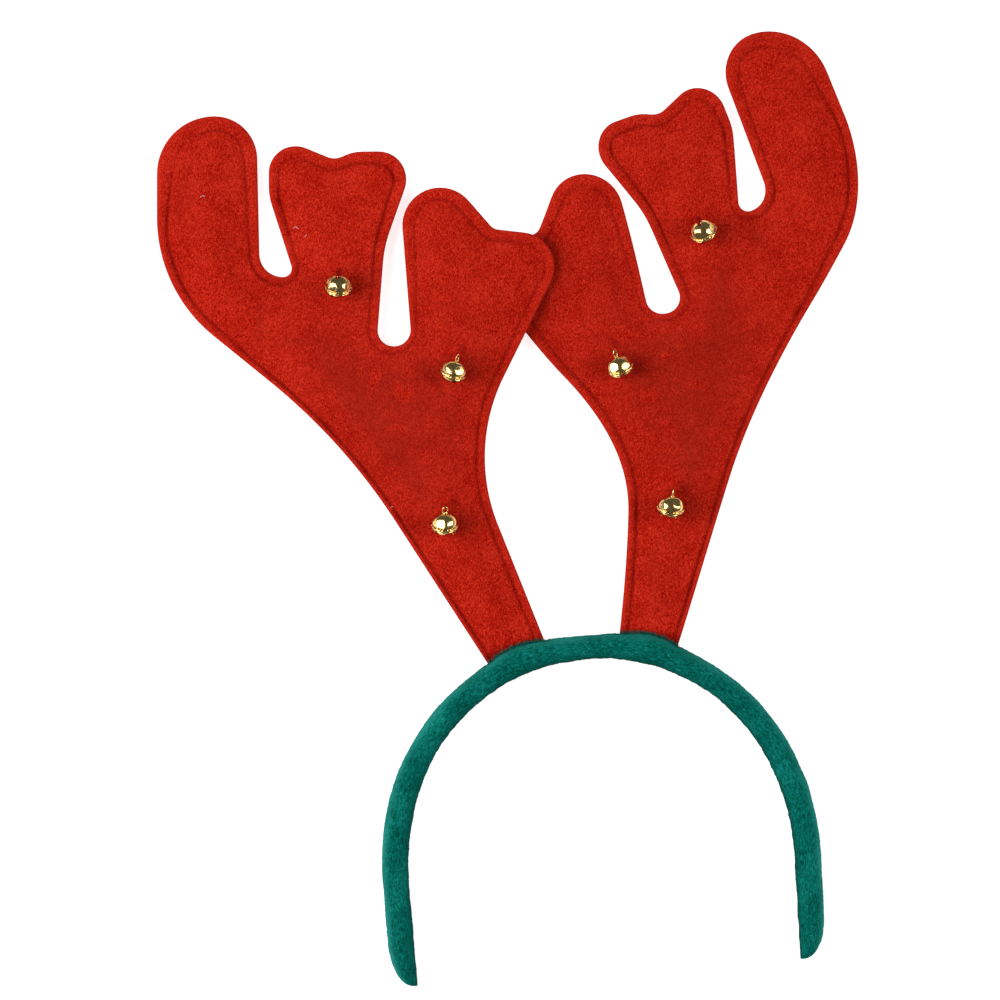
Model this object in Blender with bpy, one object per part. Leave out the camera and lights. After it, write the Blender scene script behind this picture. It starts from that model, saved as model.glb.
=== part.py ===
"""Reindeer antler headband, lying on its back as it rests on a table.

A padded, plush-covered band carries two flat antlers. Each antler is a front and a back panel of felt,
sewn together round the edge, whose foot is tucked into a slit in the band. Three small bells are sewn
to the front of each antler, each a pierced shell with a wire eye and a loose pellet inside.

Metres. +X is to the viewer's right, +Y runs from the tips of the band's legs to the antlers, +Z is up,
which is also the way the front of the headband faces. Left and right are the viewer's.
"""

import math

import bmesh
import bpy
import numpy as np
from mathutils import Euler, Matrix, Vector
from mathutils.geometry import delaunay_2d_cdt

# Room left between pieces that touch
TOUCH_GAP = 0.0003

# Band: the inside of its arch is half an ellipse, a little squarish, on two straight legs that lean in
BAND_INNER_WIDTH = 0.1386
BAND_ARCH_SQUARENESS = 2.07
BAND_ARCH_RISE = 0.0752
BAND_LEG_LENGTH = 0.0373
BAND_LEG_LEAN = 0.0004
BAND_THICKNESS = 0.0099
BAND_DEPTH = 0.0130
BAND_SEAT_SWELL = 0.0021
BAND_SEAT_SWELL_REACH = 0.0095
BAND_FLATTENING = 0.0004
BAND_SQUARENESS = 2.4
BAND_SIDES = 14
BAND_LEG_STATIONS = 4
BAND_ARCH_STATIONS = 28
BAND_TIP_STATIONS = 6
BAND_TIP_LENGTH = 0.0160

# Along the band: where (0 at the crown, 1 at a leg's tip) and the thickness as a share
BAND_SECTIONS = [
    {"place": "crown", "at": 0.00, "thickness": 0.87},
    {"place": "shoulder", "at": 0.35, "thickness": 0.94},
    {"place": "temple", "at": 0.62, "thickness": 0.98},
    {"place": "leg", "at": 0.90, "thickness": 0.94},
    {"place": "tip", "at": 1.00, "thickness": 0.86},
]
# How the padding rounds off at a leg's tip, over the tip's length, on top of the sections
BAND_TIP_ROUNDING = [
    {"from_tip": 1.00, "thickness": 1.00, "depth": 1.00},
    {"from_tip": 0.60, "thickness": 0.95, "depth": 0.98},
    {"from_tip": 0.30, "thickness": 0.80, "depth": 0.92},
    {"from_tip": 0.10, "thickness": 0.57, "depth": 0.80},
    {"from_tip": 0.02, "thickness": 0.36, "depth": 0.62},
    {"from_tip": 0.00, "thickness": 0.20, "depth": 0.40},
]

# Felt antler: one pattern, laid for the left side and mirrored for the right
ANTLER_WIDTH = 0.1444
ANTLER_HEIGHT = 0.1969
FELT_THICKNESS = 0.0015
ANTLER_PUFF = 0.0016
SEAM_MARGIN = 0.0034
PUFF_REACH = 0.0120
TUCK_DEPTH = 0.0026
SEAT_SINK = 0.0029
SLIT_MOUTH = 0.0080
DROOP_START = 0.0080
DROOP_LENGTH = 0.0900
OUTLINE_STEP = 0.0080
ARC_STEP = math.radians(15)
LATTICE_STEP = 0.0115
SEAM_ROW_STEP = 0.0125

# Corners of the pattern, rounded to a radius. Across and radius are shares of ANTLER_WIDTH, across from
# the outer edge; up is a share of ANTLER_HEIGHT, from the foot.
ANTLER_CORNERS = [
    {"corner": "foot_outer", "across": 0.825, "up": 0.000, "radius": 0.000},
    {"corner": "flank", "across": 0.465, "up": 0.406, "radius": 1.500},
    {"corner": "belly", "across": 0.000, "up": 0.682, "radius": 0.380},
    {"corner": "outer_tine_left", "across": 0.000, "up": 1.000, "radius": 0.150},
    {"corner": "outer_tine_right", "across": 0.247, "up": 1.000, "radius": 0.110},
    {"corner": "outer_slot_left", "across": 0.256, "up": 0.706, "radius": 0.060},
    {"corner": "outer_slot_right", "across": 0.344, "up": 0.706, "radius": 0.022},
    {"corner": "middle_tine_waist", "across": 0.279, "up": 0.854, "radius": 0.150},
    {"corner": "middle_lobe_left", "across": 0.278, "up": 0.970, "radius": 0.067},
    {"corner": "middle_notch", "across": 0.443, "up": 0.920, "radius": 0.045},
    {"corner": "middle_brow", "across": 0.489, "up": 0.935, "radius": 0.100},
    {"corner": "middle_lobe_right", "across": 0.651, "up": 0.935, "radius": 0.070},
    {"corner": "middle_tine_side", "across": 0.567, "up": 0.762, "radius": 0.300},
    {"corner": "inner_slot_left", "across": 0.547, "up": 0.579, "radius": 0.042},
    {"corner": "inner_slot_right", "across": 0.636, "up": 0.579, "radius": 0.042},
    {"corner": "inner_lobe_upper", "across": 0.590, "up": 1.000, "radius": 0.0935},
    {"corner": "inner_notch", "across": 0.839, "up": 0.792, "radius": 0.030},
    {"corner": "inner_lobe_lower", "across": 1.035, "up": 0.776, "radius": 0.085},
    {"corner": "waist", "across": 0.775, "up": 0.391, "radius": 0.450},
    {"corner": "foot_inner", "across": 0.968, "up": 0.038, "radius": 0.000},
]

# How each antler is set: mirror is 1 as drawn and -1 mirrored; seat is the foot's middle, as a share of
# the band's inner half width; turn leans it towards the middle, and sway bends its top further that way;
# breadth stretches it sideways and fullness widens its stem, as cut and stuffed by hand
ANTLERS = [
    {"side": "left", "mirror": 1, "seat": -0.325, "turn": 4.0, "sway": 0.0, "breadth": 1.00,
     "fullness": 0.00, "lifted": True},
    {"side": "right", "mirror": -1, "seat": 0.290, "turn": 11.5, "sway": 4.3, "breadth": 0.97,
     "fullness": 0.14, "lifted": False},
]
STEM_MIDDLE = 0.42
STEM_REACH = 0.20
# The left antler's inner tine rides over the right one: where the pattern starts to rise and is fully up
LIFT_ACROSS = (0.40, 0.78)
LIFT_UP = (0.20, 0.56)
LIFT_ROOM = 0.0002

# Bells: a dome and a shallower cup, crimped together at a rim, with a wire eye on the dome
BELL_DIAMETER = 0.0095
BELL_DOME_HEIGHT = 0.0048
BELL_CUP_DEPTH = 0.0037
BELL_SQUARENESS = 2.15
BELL_WALL = 0.0004
BELL_RIM = 0.00025
BELL_RIM_HEIGHT = 0.0008
BELL_SIDES = 16
BELL_RINGS = 4
BELL_LINING_RINGS = 2
BELL_SLOT_WIDTH = 0.0009
BELL_SLOT_HOLE = 0.0017
BELL_SLOT_HOLE_SIDES = 6
BELL_SLOT_TOP = 0.0014
EYE_WIDTH = 0.0018
EYE_HEIGHT = 0.0026
EYE_WIRE = 0.00022
EYE_SIDES = 8
EYE_WIRE_SIDES = 4
PELLET_DIAMETER = 0.0028
PELLET_DROP = 0.0015

# Where the bells are sewn, as shares of the pattern; the eye points along heading, in degrees from +Y
# towards +X, and rises by rise degrees; spin turns the bell about its eye
BELLS = [
    {"side": "left", "place": "upper", "across": 0.454, "up": 0.689, "heading": 6, "rise": 40, "spin": 20},
    {"side": "left", "place": "middle", "across": 0.741, "up": 0.533, "heading": 21, "rise": 26, "spin": 60},
    {"side": "left", "place": "lower", "across": 0.718, "up": 0.256, "heading": 6, "rise": 28, "spin": 8},
    {"side": "right", "place": "upper", "across": 0.447, "up": 0.698, "heading": -23, "rise": 44, "spin": 20},
    {"side": "right", "place": "middle", "across": 0.740, "up": 0.513, "heading": -16, "rise": 26, "spin": 45},
    {"side": "right", "place": "lower", "across": 0.749, "up": 0.245, "heading": 12, "rise": 28, "spin": 84},
]

# Colour, roughness and metallic value of each finish
FINISHES = {
    "green_plush": {"colour": (0.004, 0.125, 0.105), "roughness": 0.95, "metallic": 0.0},
    "red_felt": {"colour": (0.42, 0.013, 0.008), "roughness": 0.95, "metallic": 0.0},
    "gold_metal": {"colour": (0.83, 0.60, 0.22), "roughness": 0.15, "metallic": 1.0},
    "steel_pellet": {"colour": (0.45, 0.44, 0.42), "roughness": 0.40, "metallic": 1.0},
}

ANTLER_THICKNESS = 2 * FELT_THICKNESS + TOUCH_GAP


def clear_scene():
    for obj in list(bpy.data.objects):
        bpy.data.objects.remove(obj)


def finish_of(name):
    """The finish's material, made the first time that it is asked for."""
    material = bpy.data.materials.get(name)
    if material is None:
        material = bpy.data.materials.new(name)
        material.use_nodes = True
        shader = material.node_tree.nodes["Principled BSDF"]
        shader.inputs["Base Color"].default_value = (*FINISHES[name]["colour"], 1.0)
        shader.inputs["Roughness"].default_value = FINISHES[name]["roughness"]
        shader.inputs["Metallic"].default_value = FINISHES[name]["metallic"]
    return material


def add_object(name, mesh, finish, parent):
    obj = bpy.data.objects.new(name, mesh)
    bpy.context.scene.collection.objects.link(obj)
    obj.parent = parent
    if finish and not mesh.materials:
        mesh.materials.append(finish_of(finish))
    return obj


def add_cutter(name, mesh, parent):
    cutter = add_object(name, mesh, None, parent)
    cutter.hide_render = True
    cutter.display_type = "WIRE"
    return cutter


def mesh_from(name, bm, smooth_angle=None):
    bmesh.ops.recalc_face_normals(bm, faces=bm.faces)
    mesh = bpy.data.meshes.new(name)
    bm.to_mesh(mesh)
    bm.free()
    if smooth_angle is not None:
        mesh.shade_smooth()
        mesh.set_sharp_from_angle(angle=smooth_angle)
    return mesh


def smooth_step(share):
    share = np.clip(share, 0.0, 1.0)
    return share * share * (3 - 2 * share)


def read_table(rows, column, at, value):
    """The table's value at a place between its rows, on straight runs."""
    places = [row[column] for row in rows]
    values = [row[value] for row in rows]
    if places[0] > places[-1]:
        places, values = places[::-1], values[::-1]
    return float(np.interp(at, places, values))


def squarish(value, squareness):
    """A sine or cosine for a round that is pulled out towards its corners; squareness 2 is a plain round."""
    return math.copysign(abs(value) ** (2 / squareness), value)


def arch_point(angle):
    """A point of the band's inner line and its outward normal; angle is 0 at the crown, from +Y to +X."""
    half_width = BAND_INNER_WIDTH / 2
    across, up = squarish(math.sin(angle), BAND_ARCH_SQUARENESS), squarish(math.cos(angle), BAND_ARCH_SQUARENESS)
    point = Vector((half_width * across, BAND_LEG_LENGTH + BAND_ARCH_RISE * up))
    across = math.copysign(abs(across) ** (BAND_ARCH_SQUARENESS - 1), across)
    up = abs(up) ** (BAND_ARCH_SQUARENESS - 1)
    return point, Vector((across / half_width, up / BAND_ARCH_RISE)).normalized()


def seat_angle(antler):
    share = max(-0.9, min(0.9, antler["seat"]))
    return math.asin(math.copysign(abs(share) ** (BAND_ARCH_SQUARENESS / 2), share))


def half_line(side):
    """Points and normals of the inner line from the crown to one leg's tip, side being -1 or 1."""
    line = [arch_point(side * math.pi / 2 * i / BAND_ARCH_STATIONS) for i in range(BAND_ARCH_STATIONS + 1)]
    outward = Vector((side, 0.0))
    plain_leg = BAND_LEG_LENGTH - BAND_TIP_LENGTH
    heights = [BAND_LEG_LENGTH - plain_leg * i / BAND_LEG_STATIONS for i in range(1, BAND_LEG_STATIONS + 1)]
    tip_turns = [math.pi / 2 * i / BAND_TIP_STATIONS for i in range(1, BAND_TIP_STATIONS + 1)]
    heights += [BAND_TIP_LENGTH * math.cos(turn) for turn in tip_turns]
    for height in heights:
        lean = BAND_LEG_LEAN * smooth_step(1 - height / BAND_LEG_LENGTH)
        line.append((Vector((side * (BAND_INNER_WIDTH / 2 - lean), height)), outward))
    return line


def band_size(at, from_tip, point):
    """The band's thickness and depth at a station."""
    thickness = BAND_THICKNESS * read_table(BAND_SECTIONS, "at", at, "thickness")
    depth = BAND_DEPTH
    if from_tip < BAND_TIP_LENGTH:
        share = from_tip / BAND_TIP_LENGTH
        thickness *= read_table(BAND_TIP_ROUNDING, "from_tip", share, "thickness")
        depth *= read_table(BAND_TIP_ROUNDING, "from_tip", share, "depth")
    for antler in ANTLERS:
        away = (point - arch_point(seat_angle(antler))[0]).length
        thickness += BAND_SEAT_SWELL * math.exp(-((away / BAND_SEAT_SWELL_REACH) ** 2))
    return thickness, depth


def band_ring(point, normal, thickness, depth):
    """One section of the band. Its inner edge stays on the inner line, and its back lies flat on z = 0."""
    ring = []
    for i in range(BAND_SIDES):
        angle = 2 * math.pi * (i + 0.5) / BAND_SIDES
        out = thickness / 2 * (1 + squarish(math.cos(angle), BAND_SQUARENESS))
        height = depth / 2 * (1 + squarish(math.sin(angle), BAND_SQUARENESS)) - BAND_FLATTENING
        place = point + normal * out
        ring.append(Vector((place.x, place.y, max(0.0, height) + (BAND_DEPTH - depth) / 2)))
    return ring


def band_rings():
    """All sections in order, from the left leg's tip over the crown to the right leg's tip."""
    rings = []
    for side in (-1, 1):
        line = half_line(side)
        runs = [0.0]
        for (before, _), (after, _) in zip(line, line[1:]):
            runs.append(runs[-1] + (after - before).length)
        half = []
        for (point, normal), run in zip(line, runs):
            thickness, depth = band_size(run / runs[-1], runs[-1] - run, point)
            half.append(band_ring(point, normal, thickness, depth))
        rings = half[::-1] if side < 0 else rings + half[1:]
    return rings


def make_band(parent):
    bm = bmesh.new()
    loops = [[bm.verts.new(corner) for corner in ring] for ring in band_rings()]
    for before, after in zip(loops, loops[1:]):
        for i in range(BAND_SIDES):
            j = (i + 1) % BAND_SIDES
            bm.faces.new((before[i], before[j], after[j], after[i]))
    bm.faces.new(loops[0])
    bm.faces.new(loops[-1])
    band = add_object("band", mesh_from("band", bm, math.radians(50)), "green_plush", parent)
    for antler in ANTLERS:
        slit = band.modifiers.new("slit_" + antler["side"], "BOOLEAN")
        slit.operation = "DIFFERENCE"
        slit.solver = "EXACT"
        slit.object = make_slit_cutter(antler, parent)
    return band


def pattern_point(row):
    return Vector((row["across"] * ANTLER_WIDTH, row["up"] * ANTLER_HEIGHT))


def foot_of_pattern():
    """The foot's two corners on the pattern, its middle, and the unit vectors along it and out of it."""
    rows = {row["corner"]: row for row in ANTLER_CORNERS}
    outer, inner = pattern_point(rows["foot_outer"]), pattern_point(rows["foot_inner"])
    along = (inner - outer).normalized()
    return outer, inner, (outer + inner) / 2, along, Vector((-along.y, along.x))


def round_corner(before, corner, after, radius, most):
    """Points of the arc that rounds a corner; most limits the length taken from each of its edges."""
    back = (before - corner).normalized()
    onward = (after - corner).normalized()
    half = back.angle(onward) / 2
    taken = min(radius / math.tan(half), most)
    if taken < 1e-6:
        return [corner.copy()]
    radius = taken * math.tan(half)
    centre = corner + (back + onward).normalized() * (radius / math.sin(half))
    start = corner + back * taken - centre
    turn = math.pi - 2 * half
    if back.cross(onward) > 0:
        turn = -turn
    steps = max(2, math.ceil(abs(turn) / ARC_STEP), math.ceil(radius * abs(turn) / OUTLINE_STEP))
    return [centre + Matrix.Rotation(turn * i / steps, 2) @ start for i in range(steps + 1)]


def pattern_outline():
    """The antler's outline on the pattern, with the tongue that tucks into the band."""
    corners = [pattern_point(row) for row in ANTLER_CORNERS]
    radii = [row["radius"] * ANTLER_WIDTH for row in ANTLER_CORNERS]
    outer, inner, _, _, out_of_foot = foot_of_pattern()
    tongue = -out_of_foot * TUCK_DEPTH
    corners += [inner + tongue, outer + tongue]
    radii += [0.0, 0.0]
    count = len(corners)
    wanted = []
    for i in range(count):
        before, corner, after = corners[i - 1], corners[i], corners[(i + 1) % count]
        half = (before - corner).angle(after - corner) / 2
        wanted.append(radii[i] / math.tan(half))
    points = []
    for i in range(count):
        before, corner, after = corners[i - 1], corners[i], corners[(i + 1) % count]
        shares = [wanted[i] / max(wanted[i] + wanted[k], 1e-9) for k in (i - 1, (i + 1) % count)]
        most = min((before - corner).length * shares[0], (after - corner).length * shares[1])
        points += round_corner(before, corner, after, radii[i], most)
    return split_long_edges(points, OUTLINE_STEP)


def split_long_edges(points, step):
    """A closed outline with no edge much longer than step and no doubled point."""
    split = []
    for start, end in zip(points, points[1:] + points[:1]):
        if (end - start).length < 1e-6:
            continue
        pieces = max(1, round((end - start).length / step))
        split += [start.lerp(end, i / pieces) for i in range(pieces)]
    return split


def edge_distance(points, outline):
    """Each point's distance from the outline, and whether it lies inside."""
    starts = np.array(outline)
    ends = np.roll(starts, -1, axis=0)
    runs = ends - starts
    offsets = points[:, None, :] - starts[None]
    share = np.clip((offsets * runs).sum(2) / (runs**2).sum(1), 0.0, 1.0)
    nearest = np.linalg.norm(offsets - share[..., None] * runs, axis=2).min(1)
    above = points[:, None, 1] > starts[None, :, 1]
    crossing = above != (points[:, None, 1] > ends[None, :, 1])
    rise = np.where(runs[:, 1] == 0, 1.0, runs[:, 1])
    at = starts[:, 0] + (points[:, None, 1] - starts[None, :, 1]) * (runs[:, 0] / rise)
    inside = (crossing & (points[:, None, 0] < at)).sum(1) % 2 == 1
    return nearest, inside


def seam_row(outline):
    """Points one seam margin inside the outline, where the panels are sewn together."""
    row = []
    last = None
    for before, point, after in zip(outline[-1:] + outline[:-1], outline, outline[1:] + outline[:1]):
        along = (after - before).normalized()
        inset = point + Vector((along.y, -along.x)) * SEAM_MARGIN
        if last is None or (inset - last).length > SEAM_ROW_STEP * 0.6:
            row.append(inset)
            last = inset
    row = np.array(row)
    nearest, inside = edge_distance(row, outline)
    return row[inside & (nearest > SEAM_MARGIN * 0.9)]


def fill_pattern(outline):
    """Flat triangles over the pattern: its outline, a row along the seam and an inner lattice."""
    corners = np.array(outline)
    low, high = corners.min(0), corners.max(0)
    across = np.arange(low[0], high[0], LATTICE_STEP)
    up = np.arange(low[1], high[1], LATTICE_STEP * math.sqrt(3) / 2)
    lattice = np.array([(x + LATTICE_STEP / 2 * (i % 2), y) for i, y in enumerate(up) for x in across])
    nearest, inside = edge_distance(lattice, outline)
    lattice = lattice[inside & (nearest > SEAM_MARGIN + LATTICE_STEP * 0.45)]
    points = [Vector(p) for p in (*corners, *seam_row(outline), *lattice)]
    loop = list(range(len(corners)))
    filled = delaunay_2d_cdt(points, [], [loop], 1, 1e-7)
    return np.array([tuple(p) for p in filled[0]]), [tuple(face) for face in filled[2]]


def stem_lean():
    """How far the stem's middle line runs across for each metre up, from the foot to the waist."""
    rows = {row["corner"]: row for row in ANTLER_CORNERS}
    middle = (pattern_point(rows["flank"]) + pattern_point(rows["waist"])) / 2 - foot_of_pattern()[2]
    return middle.x / middle.y


def lay_pattern(points, antler):
    """Moves pattern points to where the antler lies: shaped, mirrored, seated, turned and bent."""
    _, _, foot, _, _ = foot_of_pattern()
    local = np.asarray(points) - np.array(foot)
    up = local[:, 1] / ANTLER_HEIGHT
    stem = stem_lean() * local[:, 1]
    widening = antler["breadth"] + antler["fullness"] * np.exp(-(((up - STEM_MIDDLE) / STEM_REACH) ** 2))
    local[:, 0] = (stem + (local[:, 0] - stem) * widening) * antler["mirror"]
    bend = antler["turn"] + antler["sway"] * np.clip(up, 0.0, 1.0)
    angle = np.radians(bend) * -antler["mirror"]
    turned = np.stack([
        local[:, 0] * np.cos(angle) - local[:, 1] * np.sin(angle),
        local[:, 0] * np.sin(angle) + local[:, 1] * np.cos(angle),
    ], axis=1)
    return turned + np.array(seat_point(antler))


def seat_point(antler):
    """The middle of the antler's foot, just under the band's outer surface."""
    point, normal = arch_point(seat_angle(antler))
    crown_share = abs(seat_angle(antler)) / math.pi
    thickness = BAND_THICKNESS * read_table(BAND_SECTIONS, "at", crown_share, "thickness")
    return point + normal * (thickness + BAND_SEAT_SWELL - SEAT_SINK)


def antler_middle(points, antler):
    """Height of the plane between the panels: level at the band, drooping to rest on the table."""
    _, _, foot, _, out_of_foot = foot_of_pattern()
    run = (points - np.array(foot)) @ np.array(out_of_foot)
    rest = ANTLER_THICKNESS / 2
    start = BAND_DEPTH / 2
    height = start + (rest - start) * smooth_step((run - DROOP_START) / DROOP_LENGTH)
    if antler["lifted"]:
        across = points[:, 0] / ANTLER_WIDTH
        up = points[:, 1] / ANTLER_HEIGHT
        rise = smooth_step((across - LIFT_ACROSS[0]) / (LIFT_ACROSS[1] - LIFT_ACROSS[0]))
        rise = rise * smooth_step((up - LIFT_UP[0]) / (LIFT_UP[1] - LIFT_UP[0]))
        height = height + rise * (ANTLER_THICKNESS + ANTLER_PUFF + TOUCH_GAP + LIFT_ROOM)
    return height


def antler_puff(points, outline):
    """How far the front panel stands off the middle: nothing at the seam and the foot, full inside."""
    _, _, foot, _, out_of_foot = foot_of_pattern()
    nearest, _ = edge_distance(points, outline)
    run = (points - np.array(foot)) @ np.array(out_of_foot)
    inside = smooth_step((nearest - SEAM_MARGIN) / PUFF_REACH)
    return ANTLER_PUFF * inside * smooth_step((run - DROOP_START) / DROOP_START)


def make_panel(name, plan, faces, low, high, rim_count, parent):
    """A closed sheet between two heights over the same plan; its rim is the first rim_count points."""
    bm = bmesh.new()
    lower = [bm.verts.new((x, y, z)) for (x, y), z in zip(plan, low)]
    upper = [bm.verts.new((x, y, z)) for (x, y), z in zip(plan, high)]
    for face in faces:
        bm.faces.new([upper[i] for i in face])
        bm.faces.new([lower[i] for i in reversed(face)])
    for i in range(rim_count):
        j = (i + 1) % rim_count
        bm.faces.new((lower[i], lower[j], upper[j], upper[i]))
    return add_object(name, mesh_from(name, bm, math.radians(40)), "red_felt", parent)


def make_antler(antler, outline, pattern, faces, parent):
    plan = lay_pattern(pattern, antler)
    middle = antler_middle(pattern, antler)
    puff = antler_puff(pattern, outline)
    front_low = middle + TOUCH_GAP / 2 + puff
    back_high = middle - TOUCH_GAP / 2
    back_low = np.maximum(back_high - FELT_THICKNESS, 0.0)
    name = "antler_" + antler["side"]
    rim = len(outline)
    make_panel(name + "_front", plan, faces, front_low, front_low + FELT_THICKNESS, rim, parent)
    make_panel(name + "_back", plan, faces, back_low, back_high, rim, parent)


def make_slit_cutter(antler, parent):
    """A box as wide and thick as the antler's foot with room round it, reaching out of the band."""
    outer, inner, foot, along, out_of_foot = foot_of_pattern()
    length = (inner - outer).length + 2 * TOUCH_GAP
    height = ANTLER_THICKNESS + 2 * TOUCH_GAP
    depth = TUCK_DEPTH + TOUCH_GAP + SLIT_MOUTH
    bm = bmesh.new()
    bmesh.ops.create_cube(bm, size=1.0)
    bmesh.ops.scale(bm, vec=(length, depth, height), verts=bm.verts)
    cutter = add_cutter("slit_cutter_" + antler["side"], mesh_from("slit_cutter", bm), parent)
    middle_run = (SLIT_MOUTH - TUCK_DEPTH - TOUCH_GAP) / 2
    ends = [foot + out_of_foot * middle_run, foot + out_of_foot * middle_run + along * length]
    centre, end = (Vector(p) for p in lay_pattern(ends, {**antler, "sway": 0.0}))
    heading = end - centre
    cutter.location = (centre.x, centre.y, BAND_DEPTH / 2)
    cutter.rotation_euler = (0.0, 0.0, math.atan2(heading.y, heading.x))
    return cutter


def bell_quarter(radius, height, start, steps):
    """A quarter of the bell's half outline, from just off its rim plane to its pole on the axis."""
    turns = [start + (math.pi / 2 - start) * i / steps for i in range(steps + 1)]
    points = [(squarish(math.cos(turn), BELL_SQUARENESS), squarish(math.sin(turn), BELL_SQUARENESS))
              for turn in turns]
    return [(radius * across if i < steps else 0.0, height * up) for i, (across, up) in enumerate(points)]


def bell_profiles():
    """Half outlines of the bell's outside, from its foot to its top, and of its lining, back down."""
    radius = BELL_DIAMETER / 2
    half_rim = BELL_RIM_HEIGHT / 2
    skirt = math.asin(half_rim / BELL_CUP_DEPTH)
    cup = [(across, -up) for across, up in bell_quarter(radius, BELL_CUP_DEPTH, skirt, BELL_RINGS)]
    dome = bell_quarter(radius, BELL_DOME_HEIGHT, skirt, BELL_RINGS)
    rim = [(radius + BELL_RIM, -half_rim), (radius + BELL_RIM, half_rim)]
    lining_dome = bell_quarter(radius - BELL_WALL, BELL_DOME_HEIGHT - BELL_WALL, 0.0, BELL_LINING_RINGS)
    lining_cup = bell_quarter(radius - BELL_WALL, BELL_CUP_DEPTH - BELL_WALL, 0.0, BELL_LINING_RINGS)
    lining = lining_dome[::-1] + [(across, -up) for across, up in lining_cup[1:]]
    return cup[::-1] + rim + dome, lining


def spin_profile(bm, profile):
    """Turns a half outline, whose ends lie on the axis, into a closed surface round Z."""
    rings = []
    for radius, height in profile[1:-1]:
        angles = [2 * math.pi * i / BELL_SIDES for i in range(BELL_SIDES)]
        rings.append([bm.verts.new((radius * math.cos(a), radius * math.sin(a), height)) for a in angles])
    poles = [bm.verts.new((0.0, 0.0, profile[k][1])) for k in (0, -1)]
    for i in range(BELL_SIDES):
        j = (i + 1) % BELL_SIDES
        bm.faces.new((poles[0], rings[0][j], rings[0][i]))
        bm.faces.new((poles[1], rings[-1][i], rings[-1][j]))
        for before, after in zip(rings, rings[1:]):
            bm.faces.new((before[i], before[j], after[j], after[i]))


def bell_shell():
    """The bell's hollow ball: the outside faces out and the inside wall faces in."""
    outside, lining = bell_profiles()
    bm = bmesh.new()
    spin_profile(bm, outside)
    spin_profile(bm, lining)
    mesh = bpy.data.meshes.new("bell_shell")
    bm.to_mesh(mesh)
    bm.free()
    return mesh


def slot_cutter():
    """Two crossed slots through the bell's cup, each with a round hole at both ends."""
    reach = BELL_DIAMETER / 2 + BELL_RIM
    drop = -BELL_SLOT_TOP
    bm = bmesh.new()
    for quarter in range(2):
        slot = bmesh.ops.create_cube(bm, size=1.0)["verts"]
        bmesh.ops.scale(bm, vec=(2 * reach, BELL_SLOT_WIDTH, reach), verts=slot)
        bmesh.ops.translate(bm, vec=(0.0, 0.0, drop - reach / 2), verts=slot)
        hole = bmesh.ops.create_cone(
            bm, cap_ends=True, segments=BELL_SLOT_HOLE_SIDES, radius1=BELL_SLOT_HOLE / 2, radius2=BELL_SLOT_HOLE / 2,
            depth=2.2 * reach,
        )["verts"]
        bmesh.ops.rotate(bm, matrix=Matrix.Rotation(math.pi / 2, 3, "Y"), verts=hole)
        bmesh.ops.translate(bm, vec=(0.0, 0.0, drop), verts=hole)
        turned = Matrix.Rotation(math.pi / 4 + math.pi / 2 * quarter, 3, "Z")
        bmesh.ops.rotate(bm, matrix=turned, verts=slot + hole)
    return mesh_from("bell_slots", bm)


def eye_ring():
    """The wire eye on top of the bell, standing in the XZ plane, its lowest stretch inside the shell's wall."""
    bm = bmesh.new()
    centre = BELL_DOME_HEIGHT - BELL_WALL / 2 + EYE_HEIGHT / 2
    loops = []
    for i in range(EYE_SIDES):
        turn = 2 * math.pi * (i + 0.5) / EYE_SIDES
        out = Vector((math.cos(turn) / EYE_WIDTH, 0.0, math.sin(turn) / EYE_HEIGHT)).normalized()
        middle = Vector((EYE_WIDTH / 2 * math.cos(turn), 0.0, centre + EYE_HEIGHT / 2 * math.sin(turn)))
        angles = [2 * math.pi * k / EYE_WIRE_SIDES for k in range(EYE_WIRE_SIDES)]
        side = Vector((0.0, EYE_WIRE, 0.0))
        loops.append([bm.verts.new(middle + out * EYE_WIRE * math.cos(a) + side * math.sin(a)) for a in angles])
    for before, after in zip(loops, loops[1:] + loops[:1]):
        for k in range(EYE_WIRE_SIDES):
            m = (k + 1) % EYE_WIRE_SIDES
            bm.faces.new((before[k], before[m], after[m], after[k]))
    return mesh_from("bell_eye", bm)


def bell_mesh(parent):
    """The finished bell, made once from its shell, its slots and its eye."""
    shell = add_object("bell_pattern", bell_shell(), "gold_metal", parent)
    for name, mesh, operation in (("slots", slot_cutter(), "DIFFERENCE"), ("eye", eye_ring(), "UNION")):
        helper = add_cutter("bell_" + name, mesh, parent)
        step = shell.modifiers.new(name, "BOOLEAN")
        step.operation = operation
        step.solver = "EXACT"
        step.use_self = name == "slots"
        step.object = helper
    bpy.context.view_layer.update()
    made = bpy.data.meshes.new_from_object(shell.evaluated_get(bpy.context.evaluated_depsgraph_get()))
    for obj in [shell, *(step.object for step in shell.modifiers)]:
        bpy.data.objects.remove(obj)
    made.name = "bell"
    made.shade_smooth()
    made.set_sharp_from_angle(angle=math.radians(40))
    return made


def pellet_mesh():
    bm = bmesh.new()
    bmesh.ops.create_icosphere(bm, subdivisions=2, radius=PELLET_DIAMETER / 2)
    return mesh_from("pellet", bm, math.radians(60))


def felt_top(row, antler, outline):
    """The highest that the front of the felt stands under a bell, looked up at its middle and around it."""
    reach = BELL_DIAMETER / 4
    around = [(0.0, 0.0), (reach, 0.0), (-reach, 0.0), (0.0, reach), (0.0, -reach)]
    spots = np.array([pattern_point(row) + Vector(step) for step in around])
    tops = antler_middle(spots, antler) + TOUCH_GAP / 2 + antler_puff(spots, outline) + FELT_THICKNESS
    return float(tops.max())


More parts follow.
